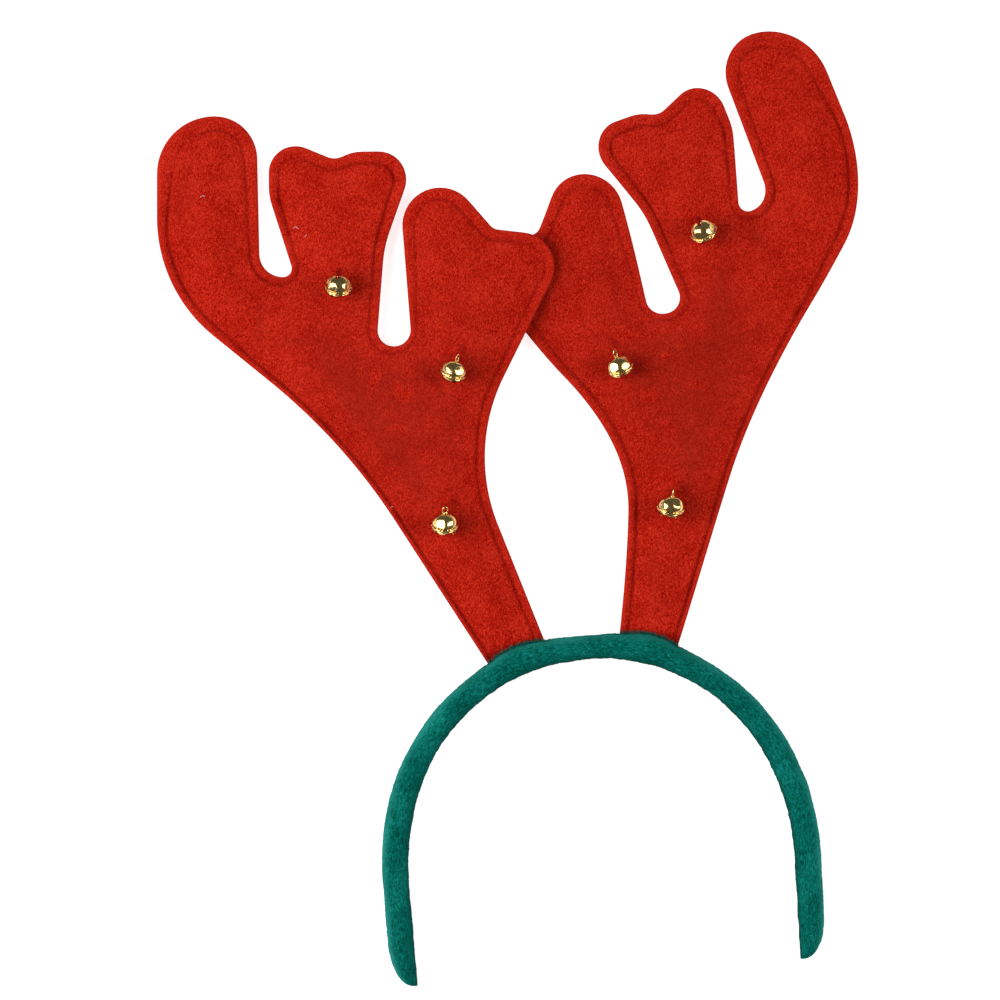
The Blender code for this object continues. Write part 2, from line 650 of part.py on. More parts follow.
def make_bells(outline, parent):
    shell = bell_mesh(parent)
    pellet = pellet_mesh()
    pellet.materials.append(finish_of("steel_pellet"))
    middle = Vector((0.0, 0.0, (BELL_DOME_HEIGHT - BELL_CUP_DEPTH) / 2))
    antlers = {antler["side"]: antler for antler in ANTLERS}
    for row in BELLS:
        antler = antlers[row["side"]]
        lean = Euler((math.radians(row["rise"] - 90), 0.0, -math.radians(row["heading"])), "XYZ")
        turn = lean.to_matrix() @ Matrix.Rotation(math.radians(row["spin"]), 3, "Z")
        lowest = min((turn @ vertex.co).z for vertex in shell.vertices)
        place = Vector((*lay_pattern([pattern_point(row)], antler)[0], 0.0))
        place -= turn @ middle * Vector((1.0, 1.0, 0.0))
        place.z = felt_top(row, antler, outline) + TOUCH_GAP - lowest
        name = row["side"] + "_" + row["place"]
        bell = add_object("bell_" + name, shell, None, parent)
        bell.location = place
        bell.rotation_euler = turn.to_euler()
        loose = add_object("pellet_" + name, pellet, None, parent)
        loose.location = place + turn @ middle - Vector((0.0, 0.0, PELLET_DROP))


def centre_on_footprint(root):
    """Moves the whole headband so that the origin is under the middle of its bounding box."""
    bpy.context.view_layer.update()
    corners = []
    for obj in root.children:
        if obj.type == "MESH" and not obj.hide_render:
            corners += [obj.matrix_world @ vertex.co for vertex in obj.data.vertices]
    lows = [min(corner[i] for corner in corners) for i in range(3)]
    highs = [max(corner[i] for corner in corners) for i in range(3)]
    root.location = (-(lows[0] + highs[0]) / 2, -(lows[1] + highs[1]) / 2, -lows[2])


def main():
    clear_scene()
    root = bpy.data.objects.new("headband", None)
    bpy.context.scene.collection.objects.link(root)
    make_band(root)
    outline = pattern_outline()
    pattern, faces = fill_pattern(outline)
    for antler in ANTLERS:
        make_antler(antler, outline, pattern, faces, root)
    make_bells(outline, root)
    centre_on_footprint(root)


main()
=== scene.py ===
"""Reindeer antler headband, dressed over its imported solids.

Two red felt antlers, each a front and a back panel with a sewn seam, stand in a green plush headband.
Six gold jingle bells are sewn on with red thread. Left and right are the viewer's. Metres.
"""

import math

import bmesh
import bpy
import numpy as np
from mathutils import Euler, Matrix, Vector, noise


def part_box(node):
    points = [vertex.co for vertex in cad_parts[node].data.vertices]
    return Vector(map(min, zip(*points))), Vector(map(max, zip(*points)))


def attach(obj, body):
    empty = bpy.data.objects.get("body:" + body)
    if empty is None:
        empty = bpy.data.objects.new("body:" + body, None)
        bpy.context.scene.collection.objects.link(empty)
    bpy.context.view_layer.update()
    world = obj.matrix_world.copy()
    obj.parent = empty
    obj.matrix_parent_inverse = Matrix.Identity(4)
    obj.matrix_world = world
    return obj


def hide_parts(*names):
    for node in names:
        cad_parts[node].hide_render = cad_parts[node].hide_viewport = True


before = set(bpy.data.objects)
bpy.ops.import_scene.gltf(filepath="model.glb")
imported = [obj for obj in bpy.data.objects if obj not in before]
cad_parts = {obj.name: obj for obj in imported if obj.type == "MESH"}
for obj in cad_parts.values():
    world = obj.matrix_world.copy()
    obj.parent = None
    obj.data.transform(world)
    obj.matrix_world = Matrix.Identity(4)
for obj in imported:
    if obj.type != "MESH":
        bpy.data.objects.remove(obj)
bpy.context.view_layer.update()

# Sizes that the solids have too, in metres, and shares of them
TOUCH_GAP = 0.0003
BAND_INNER_WIDTH = 0.1386
BAND_ARCH_SQUARENESS = 2.07
BAND_ARCH_RISE = 0.0752
BAND_LEG_LENGTH = 0.0373
BAND_LEG_LEAN = 0.0004
BAND_THICKNESS = 0.0099
BAND_DEPTH = 0.0130
BAND_SEAT_SWELL = 0.0021
BAND_SEAT_SWELL_REACH = 0.0095
BAND_FLATTENING = 0.0004
BAND_SQUARENESS = 2.4
BAND_TIP_LENGTH = 0.0160
BAND_SECTIONS = [
    {"place": "crown", "at": 0.00, "thickness": 0.87},
    {"place": "shoulder", "at": 0.35, "thickness": 0.94},
    {"place": "temple", "at": 0.62, "thickness": 0.98},
    {"place": "leg", "at": 0.90, "thickness": 0.94},
    {"place": "tip", "at": 1.00, "thickness": 0.86},
]
ANTLER_WIDTH = 0.1444
ANTLER_HEIGHT = 0.1969
FELT_THICKNESS = 0.0015
ANTLER_PUFF = 0.0016
SEAM_MARGIN = 0.0034
PUFF_REACH = 0.0120
TUCK_DEPTH = 0.0026
SEAT_SINK = 0.0029
DROOP_START = 0.0080
DROOP_LENGTH = 0.0900
ANTLER_CORNERS = [
    {"name": "foot_outer", "across": 0.825, "up": 0.000, "radius": 0.000, "seam": 0.0019, "pull": 1.0},
    {"name": "flank", "across": 0.465, "up": 0.406, "radius": 1.500, "seam": 0.0020, "pull": 1.0},
    {"name": "belly", "across": 0.000, "up": 0.682, "radius": 0.380, "seam": 0.0034, "pull": 1.0},
    {"name": "outer_tine_left", "across": 0.000, "up": 1.000, "radius": 0.150, "seam": 0.0057, "pull": 0.35},
    {"name": "outer_tine_right", "across": 0.247, "up": 1.000, "radius": 0.110, "seam": 0.0047, "pull": 0.6},
    {"name": "outer_slot_left", "across": 0.256, "up": 0.706, "radius": 0.060, "seam": 0.0032, "pull": 0.75},
    {"name": "outer_slot_right", "across": 0.344, "up": 0.706, "radius": 0.022, "seam": 0.0025, "pull": 0.45},
    {"name": "middle_tine_waist", "across": 0.279, "up": 0.854, "radius": 0.150, "seam": 0.0033, "pull": 1.0},
    {"name": "middle_lobe_left", "across": 0.278, "up": 0.970, "radius": 0.067, "seam": 0.0042, "pull": 0.30},
    {"name": "middle_notch", "across": 0.443, "up": 0.920, "radius": 0.045, "seam": 0.0040, "pull": 1.0},
    {"name": "middle_brow", "across": 0.489, "up": 0.935, "radius": 0.100, "seam": 0.0042, "pull": 0.6},
    {"name": "middle_lobe_right", "across": 0.651, "up": 0.935, "radius": 0.070, "seam": 0.0044, "pull": 1.0},
    {"name": "middle_tine_side", "across": 0.567, "up": 0.762, "radius": 0.300, "seam": 0.0034, "pull": 1.0},
    {"name": "inner_slot_left", "across": 0.547, "up": 0.579, "radius": 0.042, "seam": 0.0032, "pull": 0.6},
    {"name": "inner_slot_right", "across": 0.636, "up": 0.579, "radius": 0.042, "seam": 0.0024, "pull": 0.5},
    {"name": "inner_lobe_upper", "across": 0.590, "up": 1.000, "radius": 0.0935, "seam": 0.0043, "pull": 0.5},
    {"name": "inner_notch", "across": 0.839, "up": 0.792, "radius": 0.030, "seam": 0.0042, "pull": 1.0},
    {"name": "inner_lobe_lower", "across": 1.035, "up": 0.776, "radius": 0.085, "seam": 0.0034, "pull": 0.5},
    {"name": "waist", "across": 0.775, "up": 0.391, "radius": 0.450, "seam": 0.0030, "pull": 0.80},
    {"name": "foot_inner", "across": 0.968, "up": 0.038, "radius": 0.000, "seam": 0.0029, "pull": 1.0},
]
ANTLERS = {
    "left": {"mirror": 1, "seat": -0.325, "turn": 4.0, "sway": 0.0, "breadth": 1.00,
             "fullness": 0.00, "lifted": True},
    "right": {"mirror": -1, "seat": 0.290, "turn": 11.5, "sway": 4.3, "breadth": 0.97,
              "fullness": 0.14, "lifted": False},
}
STEM_MIDDLE = 0.42
STEM_REACH = 0.20
LIFT_ACROSS = (0.40, 0.78)
LIFT_UP = (0.20, 0.56)
LIFT_ROOM = 0.0002
BELL_DIAMETER = 0.0095
BELL_DOME_HEIGHT = 0.0048
BELL_CUP_DEPTH = 0.0037
BELL_SQUARENESS = 2.15
BELL_WALL = 0.0004
BELL_RIM = 0.00025
BELL_RIM_HEIGHT = 0.0008
BELL_SLOT_WIDTH = 0.0009
BELL_SLOT_HOLE = 0.0017
BELL_SLOT_TOP = 0.0014
EYE_WIDTH = 0.0018
EYE_HEIGHT = 0.0026
EYE_WIRE = 0.00022
# Each bell's place and its turns in degrees. Its flats are the way that a flattened spot faces and how deep
# it is. Where wrapped, the thread hides the eye.
BELLS = [
    {"side": "left", "place": "upper", "heading": 6, "rise": 40, "spin": 20,
     "flats": [((-0.46, -0.20, 0.87), 0.00034), ((0.72, -0.10, 0.69), 0.00022)], "wrapped": True},
    {"side": "left", "place": "middle", "heading": 21, "rise": 26, "spin": 60,
     "flats": [((0.47, 0.12, 0.87), 0.00032), ((-0.62, 0.15, 0.77), 0.00018)], "wrapped": False},
    {"side": "left", "place": "lower", "heading": 6, "rise": 28, "spin": 8,
     "flats": [((-0.30, 0.05, 0.95), 0.00036), ((-0.78, 0.10, 0.62), 0.00024)], "wrapped": False},
    {"side": "right", "place": "upper", "heading": -23, "rise": 44, "spin": 20,
     "flats": [((-0.42, -0.42, 0.80), 0.00024), ((0.66, 0.20, 0.72), 0.00026)], "wrapped": True},
    {"side": "right", "place": "middle", "heading": -16, "rise": 26, "spin": 45,
     "flats": [((-0.52, 0.00, 0.85), 0.00026), ((0.40, 0.10, 0.91), 0.00028)], "wrapped": False},
    {"side": "right", "place": "lower", "heading": 12, "rise": 28, "spin": 84,
     "flats": [((0.50, 0.36, 0.79), 0.00032), ((-0.64, 0.15, 0.75), 0.00020)], "wrapped": False},
]
ANTLER_THICKNESS = 2 * FELT_THICKNESS + TOUCH_GAP

# Where the solids put the band: its middle line and the tips of its legs
BAND_LOW, BAND_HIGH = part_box("band")
HOME = np.array([(BAND_LOW.x + BAND_HIGH.x) / 2, BAND_LOW.y])

# The photo: metres for a pixel, the pixel over the crown's inner edge, and how far the band is turned
PHOTO_PIXEL = 0.00036
PHOTO_CROWN = (587.0, 659.0)
PHOTO_TURN = math.radians(4)
PHOTO_MIDDLE = (500.0, 500.0)

# Felt: the steps along its cut edge, the lines inside that edge and across the seam, and the grid inside them
ARC_STEP = math.radians(8)
OUTLINE_STEP = 0.0022
EDGE_LINES = (0.00014, 0.00035, 0.00070)
SEAM_LINES = (-0.00090, -0.00055, -0.00028, 0.0, 0.00028, 0.00055, 0.00095, 0.0017)
FELT_GRID = 0.0014
SEAM_WANDER = 0.06
SEAM_EVENING = 9

# Felt: the seam's groove and stitches, the rounded edge and the wrinkles
GROOVE_DEPTH = 0.0008
GROOVE_WIDTH = 0.0006
EDGE_ROUND = 0.0005
EDGE_ROUND_REACH = 0.0007
WRINKLE = 0.00034
BACK_WRINKLE = 0.6
BROAD_WRINKLES = 38.0
FINE_WRINKLES = 150.0
PALM_MIDDLE = (0.60, 0.47)
PALM_REACH = 0.20
BELL_PRESS_DEPTH = 0.0003
BELL_PRESS_REACH = 0.0052
STITCH_LENGTH = 0.0021
STITCH_PITCH = 0.0027
STITCH_THICKNESS = 0.00024
FIRST_STITCH = 0.0035
# Folds left in the felt, narrow and broad, by the pixels of the photo that they run between
CREASES = [
    {"side": "left", "start": (267, 300), "end": (259, 352), "depth": 0.00046, "width": 0.0014},
    {"side": "left", "start": (208, 268), "end": (240, 236), "depth": 0.00026, "width": 0.0013},
    {"side": "left", "start": (262, 350), "end": (318, 338), "depth": 0.00024, "width": 0.0013},
    {"side": "left", "start": (426, 352), "end": (452, 436), "depth": 0.00036, "width": 0.0015},
    {"side": "left", "start": (352, 402), "end": (408, 470), "depth": 0.00022, "width": 0.0013},
    {"side": "left", "start": (318, 330), "end": (372, 430), "depth": 0.00050, "width": 0.0048},
    {"side": "left", "start": (388, 420), "end": (430, 520), "depth": 0.00040, "width": 0.0040},
    {"side": "left", "start": (190, 150), "end": (184, 240), "depth": 0.00030, "width": 0.0036},
    {"side": "right", "start": (752, 212), "end": (763, 258), "depth": 0.00048, "width": 0.0015},
    {"side": "right", "start": (745, 300), "end": (742, 372), "depth": 0.00030, "width": 0.0013},
    {"side": "right", "start": (806, 140), "end": (822, 214), "depth": 0.00022, "width": 0.0013},
    {"side": "right", "start": (700, 330), "end": (672, 452), "depth": 0.00024, "width": 0.0015},
    {"side": "right", "start": (729, 256), "end": (715, 378), "depth": 0.00062, "width": 0.0042},
    {"side": "right", "start": (712, 366), "end": (684, 500), "depth": 0.00052, "width": 0.0044},
    {"side": "right", "start": (664, 520), "end": (652, 610), "depth": 0.00030, "width": 0.0026},
]
CREASE_BOW = 0.0011

# Plush band: its mesh, its nap and puckers, the seam inside the bend and the pile round the antlers' feet
BAND_STATIONS = 520
BAND_SIDES = 72
BAND_TIP_SHARE = 0.12
SECTION_RADIUS = 0.0062
NAP_HEIGHT = 0.00018
UNEVENNESS = 0.00026
PUCKER_DEPTH = 0.00005
PUCKER_PITCH = 0.0047
BAND_SEAM_DEPTH = 0.0005
BAND_SEAM_WIDTH = 0.0006
MOUTH_EDGE = 0.0007
FRINGE_STRANDS = 170
FRINGE_LENGTH = (0.0007, 0.0014)
FRINGE_SLANT = 0.0005
FRINGE_HEIGHT = (0.0024, 0.0036)
FRINGE_JITTER = 0.0001
FRINGE_SHAPE = ((-0.3, 0.0), (0.4, 0.0001), (1.0, 0.0006))
PILE_THICKNESS = 0.00016

# Bells: what knocking about, crimping and soldering leave on them
BELL_SEGMENTS = 96
BELL_NOTCH = 0.00022
CRIMP_FOLDS = 24
CRIMP_WAVES = 7
DENT_DEPTH = 0.028
DENT_SCALE = 210.0
COLLAR_RADIUS = 0.0006
COLLAR_WIRE = 0.00018

# Thread: the bells' sewing, its loop given as shares across and up; the knots' loose ends; the lint
SEWING_THREAD = 0.00032
SEWING_LOOP = ((-1.25, 0.0), (-0.9, 0.45), (-0.3, 0.97), (0.3, 1.0), (0.9, 0.45), (1.25, 0.0))
SEWING_HALF_WIDTH = 0.0012
SEWING_SINK = 0.0006
SEWING_RISE = 0.0004
SEWING_OFFSET = 0.0005
STRAND_GAP = 0.0002
WRAP_WINDINGS = 15
WRAP_GAP = 0.00014
LOOSE_THREAD = 0.00026
LOOSE_ENDS = [
    {"name": "left_lower", "side": "left", "knot": (451.0, 504.0), "ends": 3},
    {"name": "right_lower", "side": "right", "knot": (682.0, 487.0), "ends": 4},
    {"name": "left_middle", "side": "left", "knot": (459.0, 352.0), "ends": 2},
    {"name": "right_middle", "side": "right", "knot": (612.0, 345.0), "ends": 2},
]
CURL_STEPS = 6
CURL_TURN = 0.55
CURL_START = 0.0003
CURL_REACH = 0.00042
LINT_THICKNESS = 0.00011
LINT = [
    {"middle": (203, 197), "turn": 0.1, "length": 0.0016},
    {"middle": (296, 228), "turn": -0.2, "length": 0.0020},
    {"middle": (306, 236), "turn": 0.9, "length": 0.0009},
    {"middle": (392, 507), "turn": 0.5, "length": 0.0008},
]

# Looks of the cloths: their fibres, the share that is fine grain, and the stretch of it that the colours span
FELT_LOOK = {
    "name": "brushed_red_felt", "roughness": 0.95, "specular": 0.015,
    "sheen": 0.03, "sheen_roughness": 0.6, "sheen_tint": (1.0, 0.06, 0.03, 1.0),
    "fibre_scale": 3000.0, "streak": 0.45, "grain": 0.88, "span": (0.35, 0.65), "relief": 0.55,
    "deep": (0.255, 0.0035, 0.0010, 1.0), "plain": (0.400, 0.0100, 0.0032, 1.0),
    # The fourth colour is painted shade in the creases and palm, the fifth painted shade in the seam groove
    # and against the band; the strengths below are a painted highlight along the rim and these two painted
    # shades
    "bright": (0.580, 0.0280, 0.0130, 1.0), "painted_shade_and_sheen": (0.240, 0.0110, 0.0060, 1.0),
    "shadow": (0.090, 0.0008, 0.0004, 1.0), "rim": 0.25, "crease": 0.50, "seam": 0.62,
}
PLUSH_LOOK = {
    "name": "green_plush", "roughness": 0.96, "specular": 0.01,
    "sheen": 0.03, "sheen_roughness": 0.5, "sheen_tint": (0.01, 0.90, 0.75, 1.0),
    "fibre_scale": 1900.0, "streak": 0.30, "grain": 0.76, "span": (0.24, 0.76), "relief": 0.5,
    "deep": (0.0003, 0.034, 0.026, 1.0), "plain": (0.0010, 0.106, 0.083, 1.0),
    # The fourth colour is a painted sheen on the outer side; below it come that sheen's spread over the broad
    # patches, then strengths of painted shade on the lower flanks and round the antlers' feet and the inner
    # seam
    "bright": (0.008, 0.205, 0.170, 1.0), "painted_shade_and_sheen": (0.022, 0.225, 0.190, 1.0),
    "painted_sheen_spread": (-0.4, 0.9), "flank": 0.85, "pressed": 0.7,
}
FIBRE_RELIEF = 0.0004
GOLD_LOOK = {
    "colour": (0.82, 0.59, 0.24, 1.0), "stain": (0.50, 0.31, 0.09, 1.0),
    "smooth": 0.10, "rough": 0.26, "scale": 420.0,
}
STEEL_LOOK = {
    "colour": (0.46, 0.45, 0.43, 1.0), "stain": (0.30, 0.28, 0.26, 1.0),
    "smooth": 0.30, "rough": 0.50, "scale": 600.0,
}
RED_THREAD_LOOK = {"dark": (0.20, 0.004, 0.002, 1.0), "light": (0.40, 0.010, 0.004, 1.0), "scale": 2600.0}
LINT_LOOK = {"dark": (0.70, 0.62, 0.56, 1.0), "light": (0.92, 0.88, 0.84, 1.0), "scale": 3000.0}

# Studio: the softboxes, the fill from all round and the camera's height and lens
SOFTBOXES = [
    {"name": "softbox_left", "place": (-1.00, 0.10, 0.80), "size": (0.90, 1.20), "power": 23.6},
    {"name": "softbox_right", "place": (1.10, 0.05, 0.80), "size": (0.65, 1.00), "power": 12.8},
]
FILL_COLOUR = (0.95, 0.97, 1.0, 1.0)
FILL_STRENGTH = 0.12
FLOOR_SIZE = 6.0
FLOOR_GAP = 0.0003
CAMERA_HEIGHT = 1.502
CAMERA_LENS = 150.0


def smooth_step(share):
    share = np.clip(share, 0.0, 1.0)
    return share * share * (3 - 2 * share)


def read_table(rows, column, at, value):
    return np.interp(at, [row[column] for row in rows], [row[value] for row in rows])


def squarish(value, squareness):
    return np.copysign(np.abs(value) ** (2 / squareness), value)


def arch_point(angle):
    """The band's inner line and its outward normal; angle is 0 at the crown, from +Y to +X."""
    half_width = BAND_INNER_WIDTH / 2
    across = squarish(math.sin(angle), BAND_ARCH_SQUARENESS)
    up = squarish(math.cos(angle), BAND_ARCH_SQUARENESS)
    point = Vector((half_width * across, BAND_LEG_LENGTH + BAND_ARCH_RISE * up))
    across = math.copysign(abs(across) ** (BAND_ARCH_SQUARENESS - 1), across)
    up = abs(up) ** (BAND_ARCH_SQUARENESS - 1)
    return point, Vector((across / half_width, up / BAND_ARCH_RISE)).normalized()


def seat_angle(antler):
    share = antler["seat"]
    return math.asin(math.copysign(abs(share) ** (BAND_ARCH_SQUARENESS / 2), share))


def seat_point(antler):
    """The middle of the antler's foot, just under the band's outer surface."""
    angle = seat_angle(antler)
    point, normal = arch_point(angle)
    thickness = BAND_THICKNESS * read_table(BAND_SECTIONS, "at", abs(angle) / math.pi, "thickness")
    return point + normal * (thickness + BAND_SEAT_SWELL - SEAT_SINK)


def pattern_point(row):
    return Vector((row["across"] * ANTLER_WIDTH, row["up"] * ANTLER_HEIGHT))


CORNER_POINTS = {row["name"]: pattern_point(row) for row in ANTLER_CORNERS}
FOOT_OUTER, FOOT_INNER = CORNER_POINTS["foot_outer"], CORNER_POINTS["foot_inner"]
FOOT_MIDDLE = (FOOT_OUTER + FOOT_INNER) / 2
ALONG_FOOT = (FOOT_INNER - FOOT_OUTER).normalized()
OUT_OF_FOOT = Vector((-ALONG_FOOT.y, ALONG_FOOT.x))


def round_corner(before, corner, after, radius, most):
    """The arc that rounds a corner; most limits the length taken from each of its edges."""
    back = (before - corner).normalized()
    onward = (after - corner).normalized()
    half = back.angle(onward) / 2
    taken = min(radius / math.tan(half), most)
    if taken < 1e-6:
        return [corner.copy()]
    radius = taken * math.tan(half)
    centre = corner + (back + onward).normalized() * (radius / math.sin(half))
    start = corner + back * taken - centre
    turn = math.pi - 2 * half
    if back.cross(onward) > 0:
        turn = -turn
    steps = max(2, math.ceil(abs(turn) / ARC_STEP), math.ceil(radius * abs(turn) / OUTLINE_STEP))
    return [centre + Matrix.Rotation(turn * i / steps, 2) @ start for i in range(steps + 1)]


def pattern_outline():
    """The antler's cut edge on the flat pattern, from the tongue's outer corner round to its inner one.

    With each point comes how far inside it the seam is sewn and how hard the thread pulls there.
    """
    rows = [*ANTLER_CORNERS, ANTLER_CORNERS[-1], ANTLER_CORNERS[0]]
    corners = [pattern_point(row) for row in ANTLER_CORNERS]
    radii = [row["radius"] * ANTLER_WIDTH for row in ANTLER_CORNERS]
    tongue = -OUT_OF_FOOT * TUCK_DEPTH
    corners += [FOOT_INNER + tongue, FOOT_OUTER + tongue]
    radii += [0.0, 0.0]
    count = len(corners)
    wanted = []
    for i in range(count):
        half = (corners[i - 1] - corners[i]).angle(corners[(i + 1) % count] - corners[i]) / 2
        wanted.append(radii[i] / math.tan(half))
    points = [(*corners[-1], rows[-1]["seam"], rows[-1]["pull"])]
    for i in range(count - 1):
        before, corner, after = corners[i - 1], corners[i], corners[i + 1]
        shares = [wanted[i] / max(wanted[i] + wanted[k], 1e-9) for k in (i - 1, i + 1)]
        most = min((before - corner).length * shares[0], (after - corner).length * shares[1])
        arc = round_corner(before, corner, after, radii[i], most)
        points += [(*point, rows[i]["seam"], rows[i]["pull"]) for point in arc]
    points = np.array(points)
    even = []
    for start, end in zip(points, points[1:]):
        length = np.hypot(*(end - start)[:2])
        if length > 1e-6:
            pieces = max(1, round(length / OUTLINE_STEP))
            even += [start + (end - start) * i / pieces for i in range(pieces)]
    even = np.array([*even, points[-1]])
    line, seam, pull = even[:, :2], evened(even[:, 2], SEAM_EVENING), evened(even[:, 3], SEAM_EVENING)
    wander = noise_at(np.column_stack([line, np.zeros(len(line))]), 60.0, 3, 2)
    return line, seam * (1 + SEAM_WANDER * wander), pull


def evened(values, width):
    """A running mean, with the ends repeated."""
    padded = np.pad(values, width // 2, mode="edge")
    return np.convolve(padded, np.ones(width) / width, mode="valid")


def inward_normals(line):
    ahead = np.vstack([line[1:], 2 * line[-1] - line[-2]])
    behind = np.vstack([2 * line[0] - line[1], line[:-1]])
    along = ahead - behind
    along /= np.linalg.norm(along, axis=1)[:, None]
    return np.stack([along[:, 1], -along[:, 0]], axis=1)


def distance_to_line(points, line, values=None):
    """Each point's distance from an open line, and the line's value at its nearest place."""
    nearest, found = np.full(len(points), np.inf), np.zeros(len(points))
    values = np.zeros(len(line)) if values is None else values
    for k in range(len(line) - 1):
        run = line[k + 1] - line[k]
        offset = points - line[k]
        share = np.clip(offset @ run / (run @ run), 0.0, 1.0)
        away = np.hypot(*(offset - share[:, None] * run).T)
        closer = away < nearest
        nearest[closer] = away[closer]
        found[closer] = (values[k] + (values[k + 1] - values[k]) * share)[closer]
    return nearest, found


def lay_pattern(points, antler):
    """Moves pattern points to where the antler lies: shaped, mirrored, seated, turned and bent."""
    local = np.array(points, float) - np.array(FOOT_MIDDLE)
    up = local[:, 1] / ANTLER_HEIGHT
    middle = (CORNER_POINTS["flank"] + CORNER_POINTS["waist"]) / 2 - FOOT_MIDDLE
    stem = middle.x / middle.y * local[:, 1]
    widening = antler["breadth"] + antler["fullness"] * np.exp(-(((up - STEM_MIDDLE) / STEM_REACH) ** 2))
    local[:, 0] = (stem + (local[:, 0] - stem) * widening) * antler["mirror"]
    bend = antler["turn"] + antler["sway"] * np.clip(up, 0.0, 1.0)
    angle = np.radians(bend) * -antler["mirror"]
    turned = np.stack([
        local[:, 0] * np.cos(angle) - local[:, 1] * np.sin(angle),
        local[:, 0] * np.sin(angle) + local[:, 1] * np.cos(angle),
    ], axis=1)
    return turned + np.array(seat_point(antler)) + HOME


def out_of_band(points):
    return (points - np.array(FOOT_MIDDLE)) @ np.array(OUT_OF_FOOT)


def antler_middle(points, antler):
    """Height between the panels: level at the band, drooping to the table, the left one over the right."""
    rest, start = ANTLER_THICKNESS / 2, BAND_DEPTH / 2
    height = start + (rest - start) * smooth_step((out_of_band(points) - DROOP_START) / DROOP_LENGTH)
    if antler["lifted"]:
        across, up = points[:, 0] / ANTLER_WIDTH, points[:, 1] / ANTLER_HEIGHT
        rise = smooth_step((across - LIFT_ACROSS[0]) / (LIFT_ACROSS[1] - LIFT_ACROSS[0]))
        rise = rise * smooth_step((up - LIFT_UP[0]) / (LIFT_UP[1] - LIFT_UP[0]))
        height = height + rise * (ANTLER_THICKNESS + ANTLER_PUFF + TOUCH_GAP + LIFT_ROOM)
    return height


def on_photo(across, down):
    """The place in the frame that the photo shows at a pixel."""
    right = (across - PHOTO_CROWN[0]) * PHOTO_PIXEL
    up = (PHOTO_CROWN[1] - down) * PHOTO_PIXEL
    x = right * math.cos(PHOTO_TURN) + up * math.sin(PHOTO_TURN)
    y = up * math.cos(PHOTO_TURN) - right * math.sin(PHOTO_TURN)
    return np.array([x, y + BAND_LEG_LENGTH + BAND_ARCH_RISE]) + HOME


def noise_at(points, scale, seed, octaves=3):
    """Smooth noise from about -1 to 1 at each point, scale being its cycles for a metre."""
    shift = Vector((seed * 13.7, seed * 5.3, seed * 9.1))
    return np.array([noise.fractal(Vector(p) * scale + shift, 0.6, 2.0, octaves) for p in points])


def coordinates(mesh):
    flat = np.empty(len(mesh.vertices) * 3)
    mesh.vertices.foreach_get("co", flat)
    return flat.reshape(-1, 3)


def set_coordinates(mesh, points):
    mesh.vertices.foreach_set("co", np.ascontiguousarray(points, float).ravel())
    mesh.update()


def set_attribute(mesh, name, values):
    attribute = mesh.attributes.new(name, "FLOAT", "POINT")
    attribute.data.foreach_set("value", np.ascontiguousarray(values, np.float32))


def start_piece(name, add, **sizes):
    """A new primitive, alone in the selection, named and ready to be shaped."""
    bpy.ops.object.select_all(action="DESELECT")
    add(**sizes)
    piece = bpy.context.object
    piece.name = piece.data.name = name
    return piece


def select_only(*pieces):
    """Selects the pieces and nothing else, with the first one active."""
    bpy.ops.object.select_all(action="DESELECT")
    for piece in pieces:
        piece.select_set(True)
    bpy.context.view_layer.objects.active = pieces[0]


def edit(piece):
    select_only(piece)
    bpy.ops.object.mode_set(mode="EDIT")
    return bmesh.from_edit_mesh(piece.data)


def leave_edit():
    bpy.ops.object.mode_set(mode="OBJECT")


def close_up(piece, sharp):
    """Merges what touches, turns the faces outwards and shades the piece smooth."""
    edit(piece)
    bpy.ops.mesh.select_all(action="SELECT")
    bpy.ops.mesh.remove_doubles(threshold=1e-6)
    bpy.ops.mesh.normals_make_consistent(inside=False)
    leave_edit()
    bpy.ops.object.shade_smooth_by_angle(angle=math.radians(sharp))


def apply_modifier(piece, kind, **settings):
    bpy.context.view_layer.objects.active = piece
    step = piece.modifiers.new(kind.lower(), kind)
    for key, value in settings.items():
        setattr(step, key, value)
    bpy.ops.object.modifier_apply(modifier=step.name)


def copy_of(master, name):
    piece = master.copy()
    piece.data = master.data.copy()
    piece.name = piece.data.name = name
    bpy.context.scene.collection.objects.link(piece)
    return piece


def dress(piece, material):
    piece.data.materials.clear()
    piece.data.materials.append(material)
    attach(piece, "root")
    return piece


def add_node(tree, kind, inputs=None, **settings):
    made = tree.nodes.new(kind)
    for key, value in settings.items():
        setattr(made, key, value)
    for key, value in (inputs or {}).items():
        if isinstance(value, bpy.types.NodeSocket):
            tree.links.new(value, made.inputs[key])
        else:
            made.inputs[key].default_value = value
    return made


def maths(tree, operation, first, second):
    return add_node(tree, "ShaderNodeMath", {0: first, 1: second}, operation=operation).outputs[0]


def spread(tree, value, low, high):
    """The value's stretch between low and high, spread over 0 to 1."""
    inputs = {"Value": value, "From Min": low, "From Max": high}
    return add_node(tree, "ShaderNodeMapRange", inputs).outputs[0]


def blend_colours(tree, share, first, second):
    made = add_node(tree, "ShaderNodeMix", data_type="RGBA")
    for socket, value in zip((made.inputs[0], made.inputs[6], made.inputs[7]), (share, first, second)):
        if isinstance(value, bpy.types.NodeSocket):
            tree.links.new(value, socket)
        else:
            socket.default_value = value
    return made.outputs[2]


def new_group(name, inputs, outputs):
    group = bpy.data.node_groups.new(name, "ShaderNodeTree")
    for label, kind in inputs:
        group.interface.new_socket(label, in_out="INPUT", socket_type=kind)
    for label, kind in outputs:
        group.interface.new_socket(label, in_out="OUTPUT", socket_type=kind)
    return group, group.nodes.new("NodeGroupInput").outputs, group.nodes.new("NodeGroupOutput").inputs


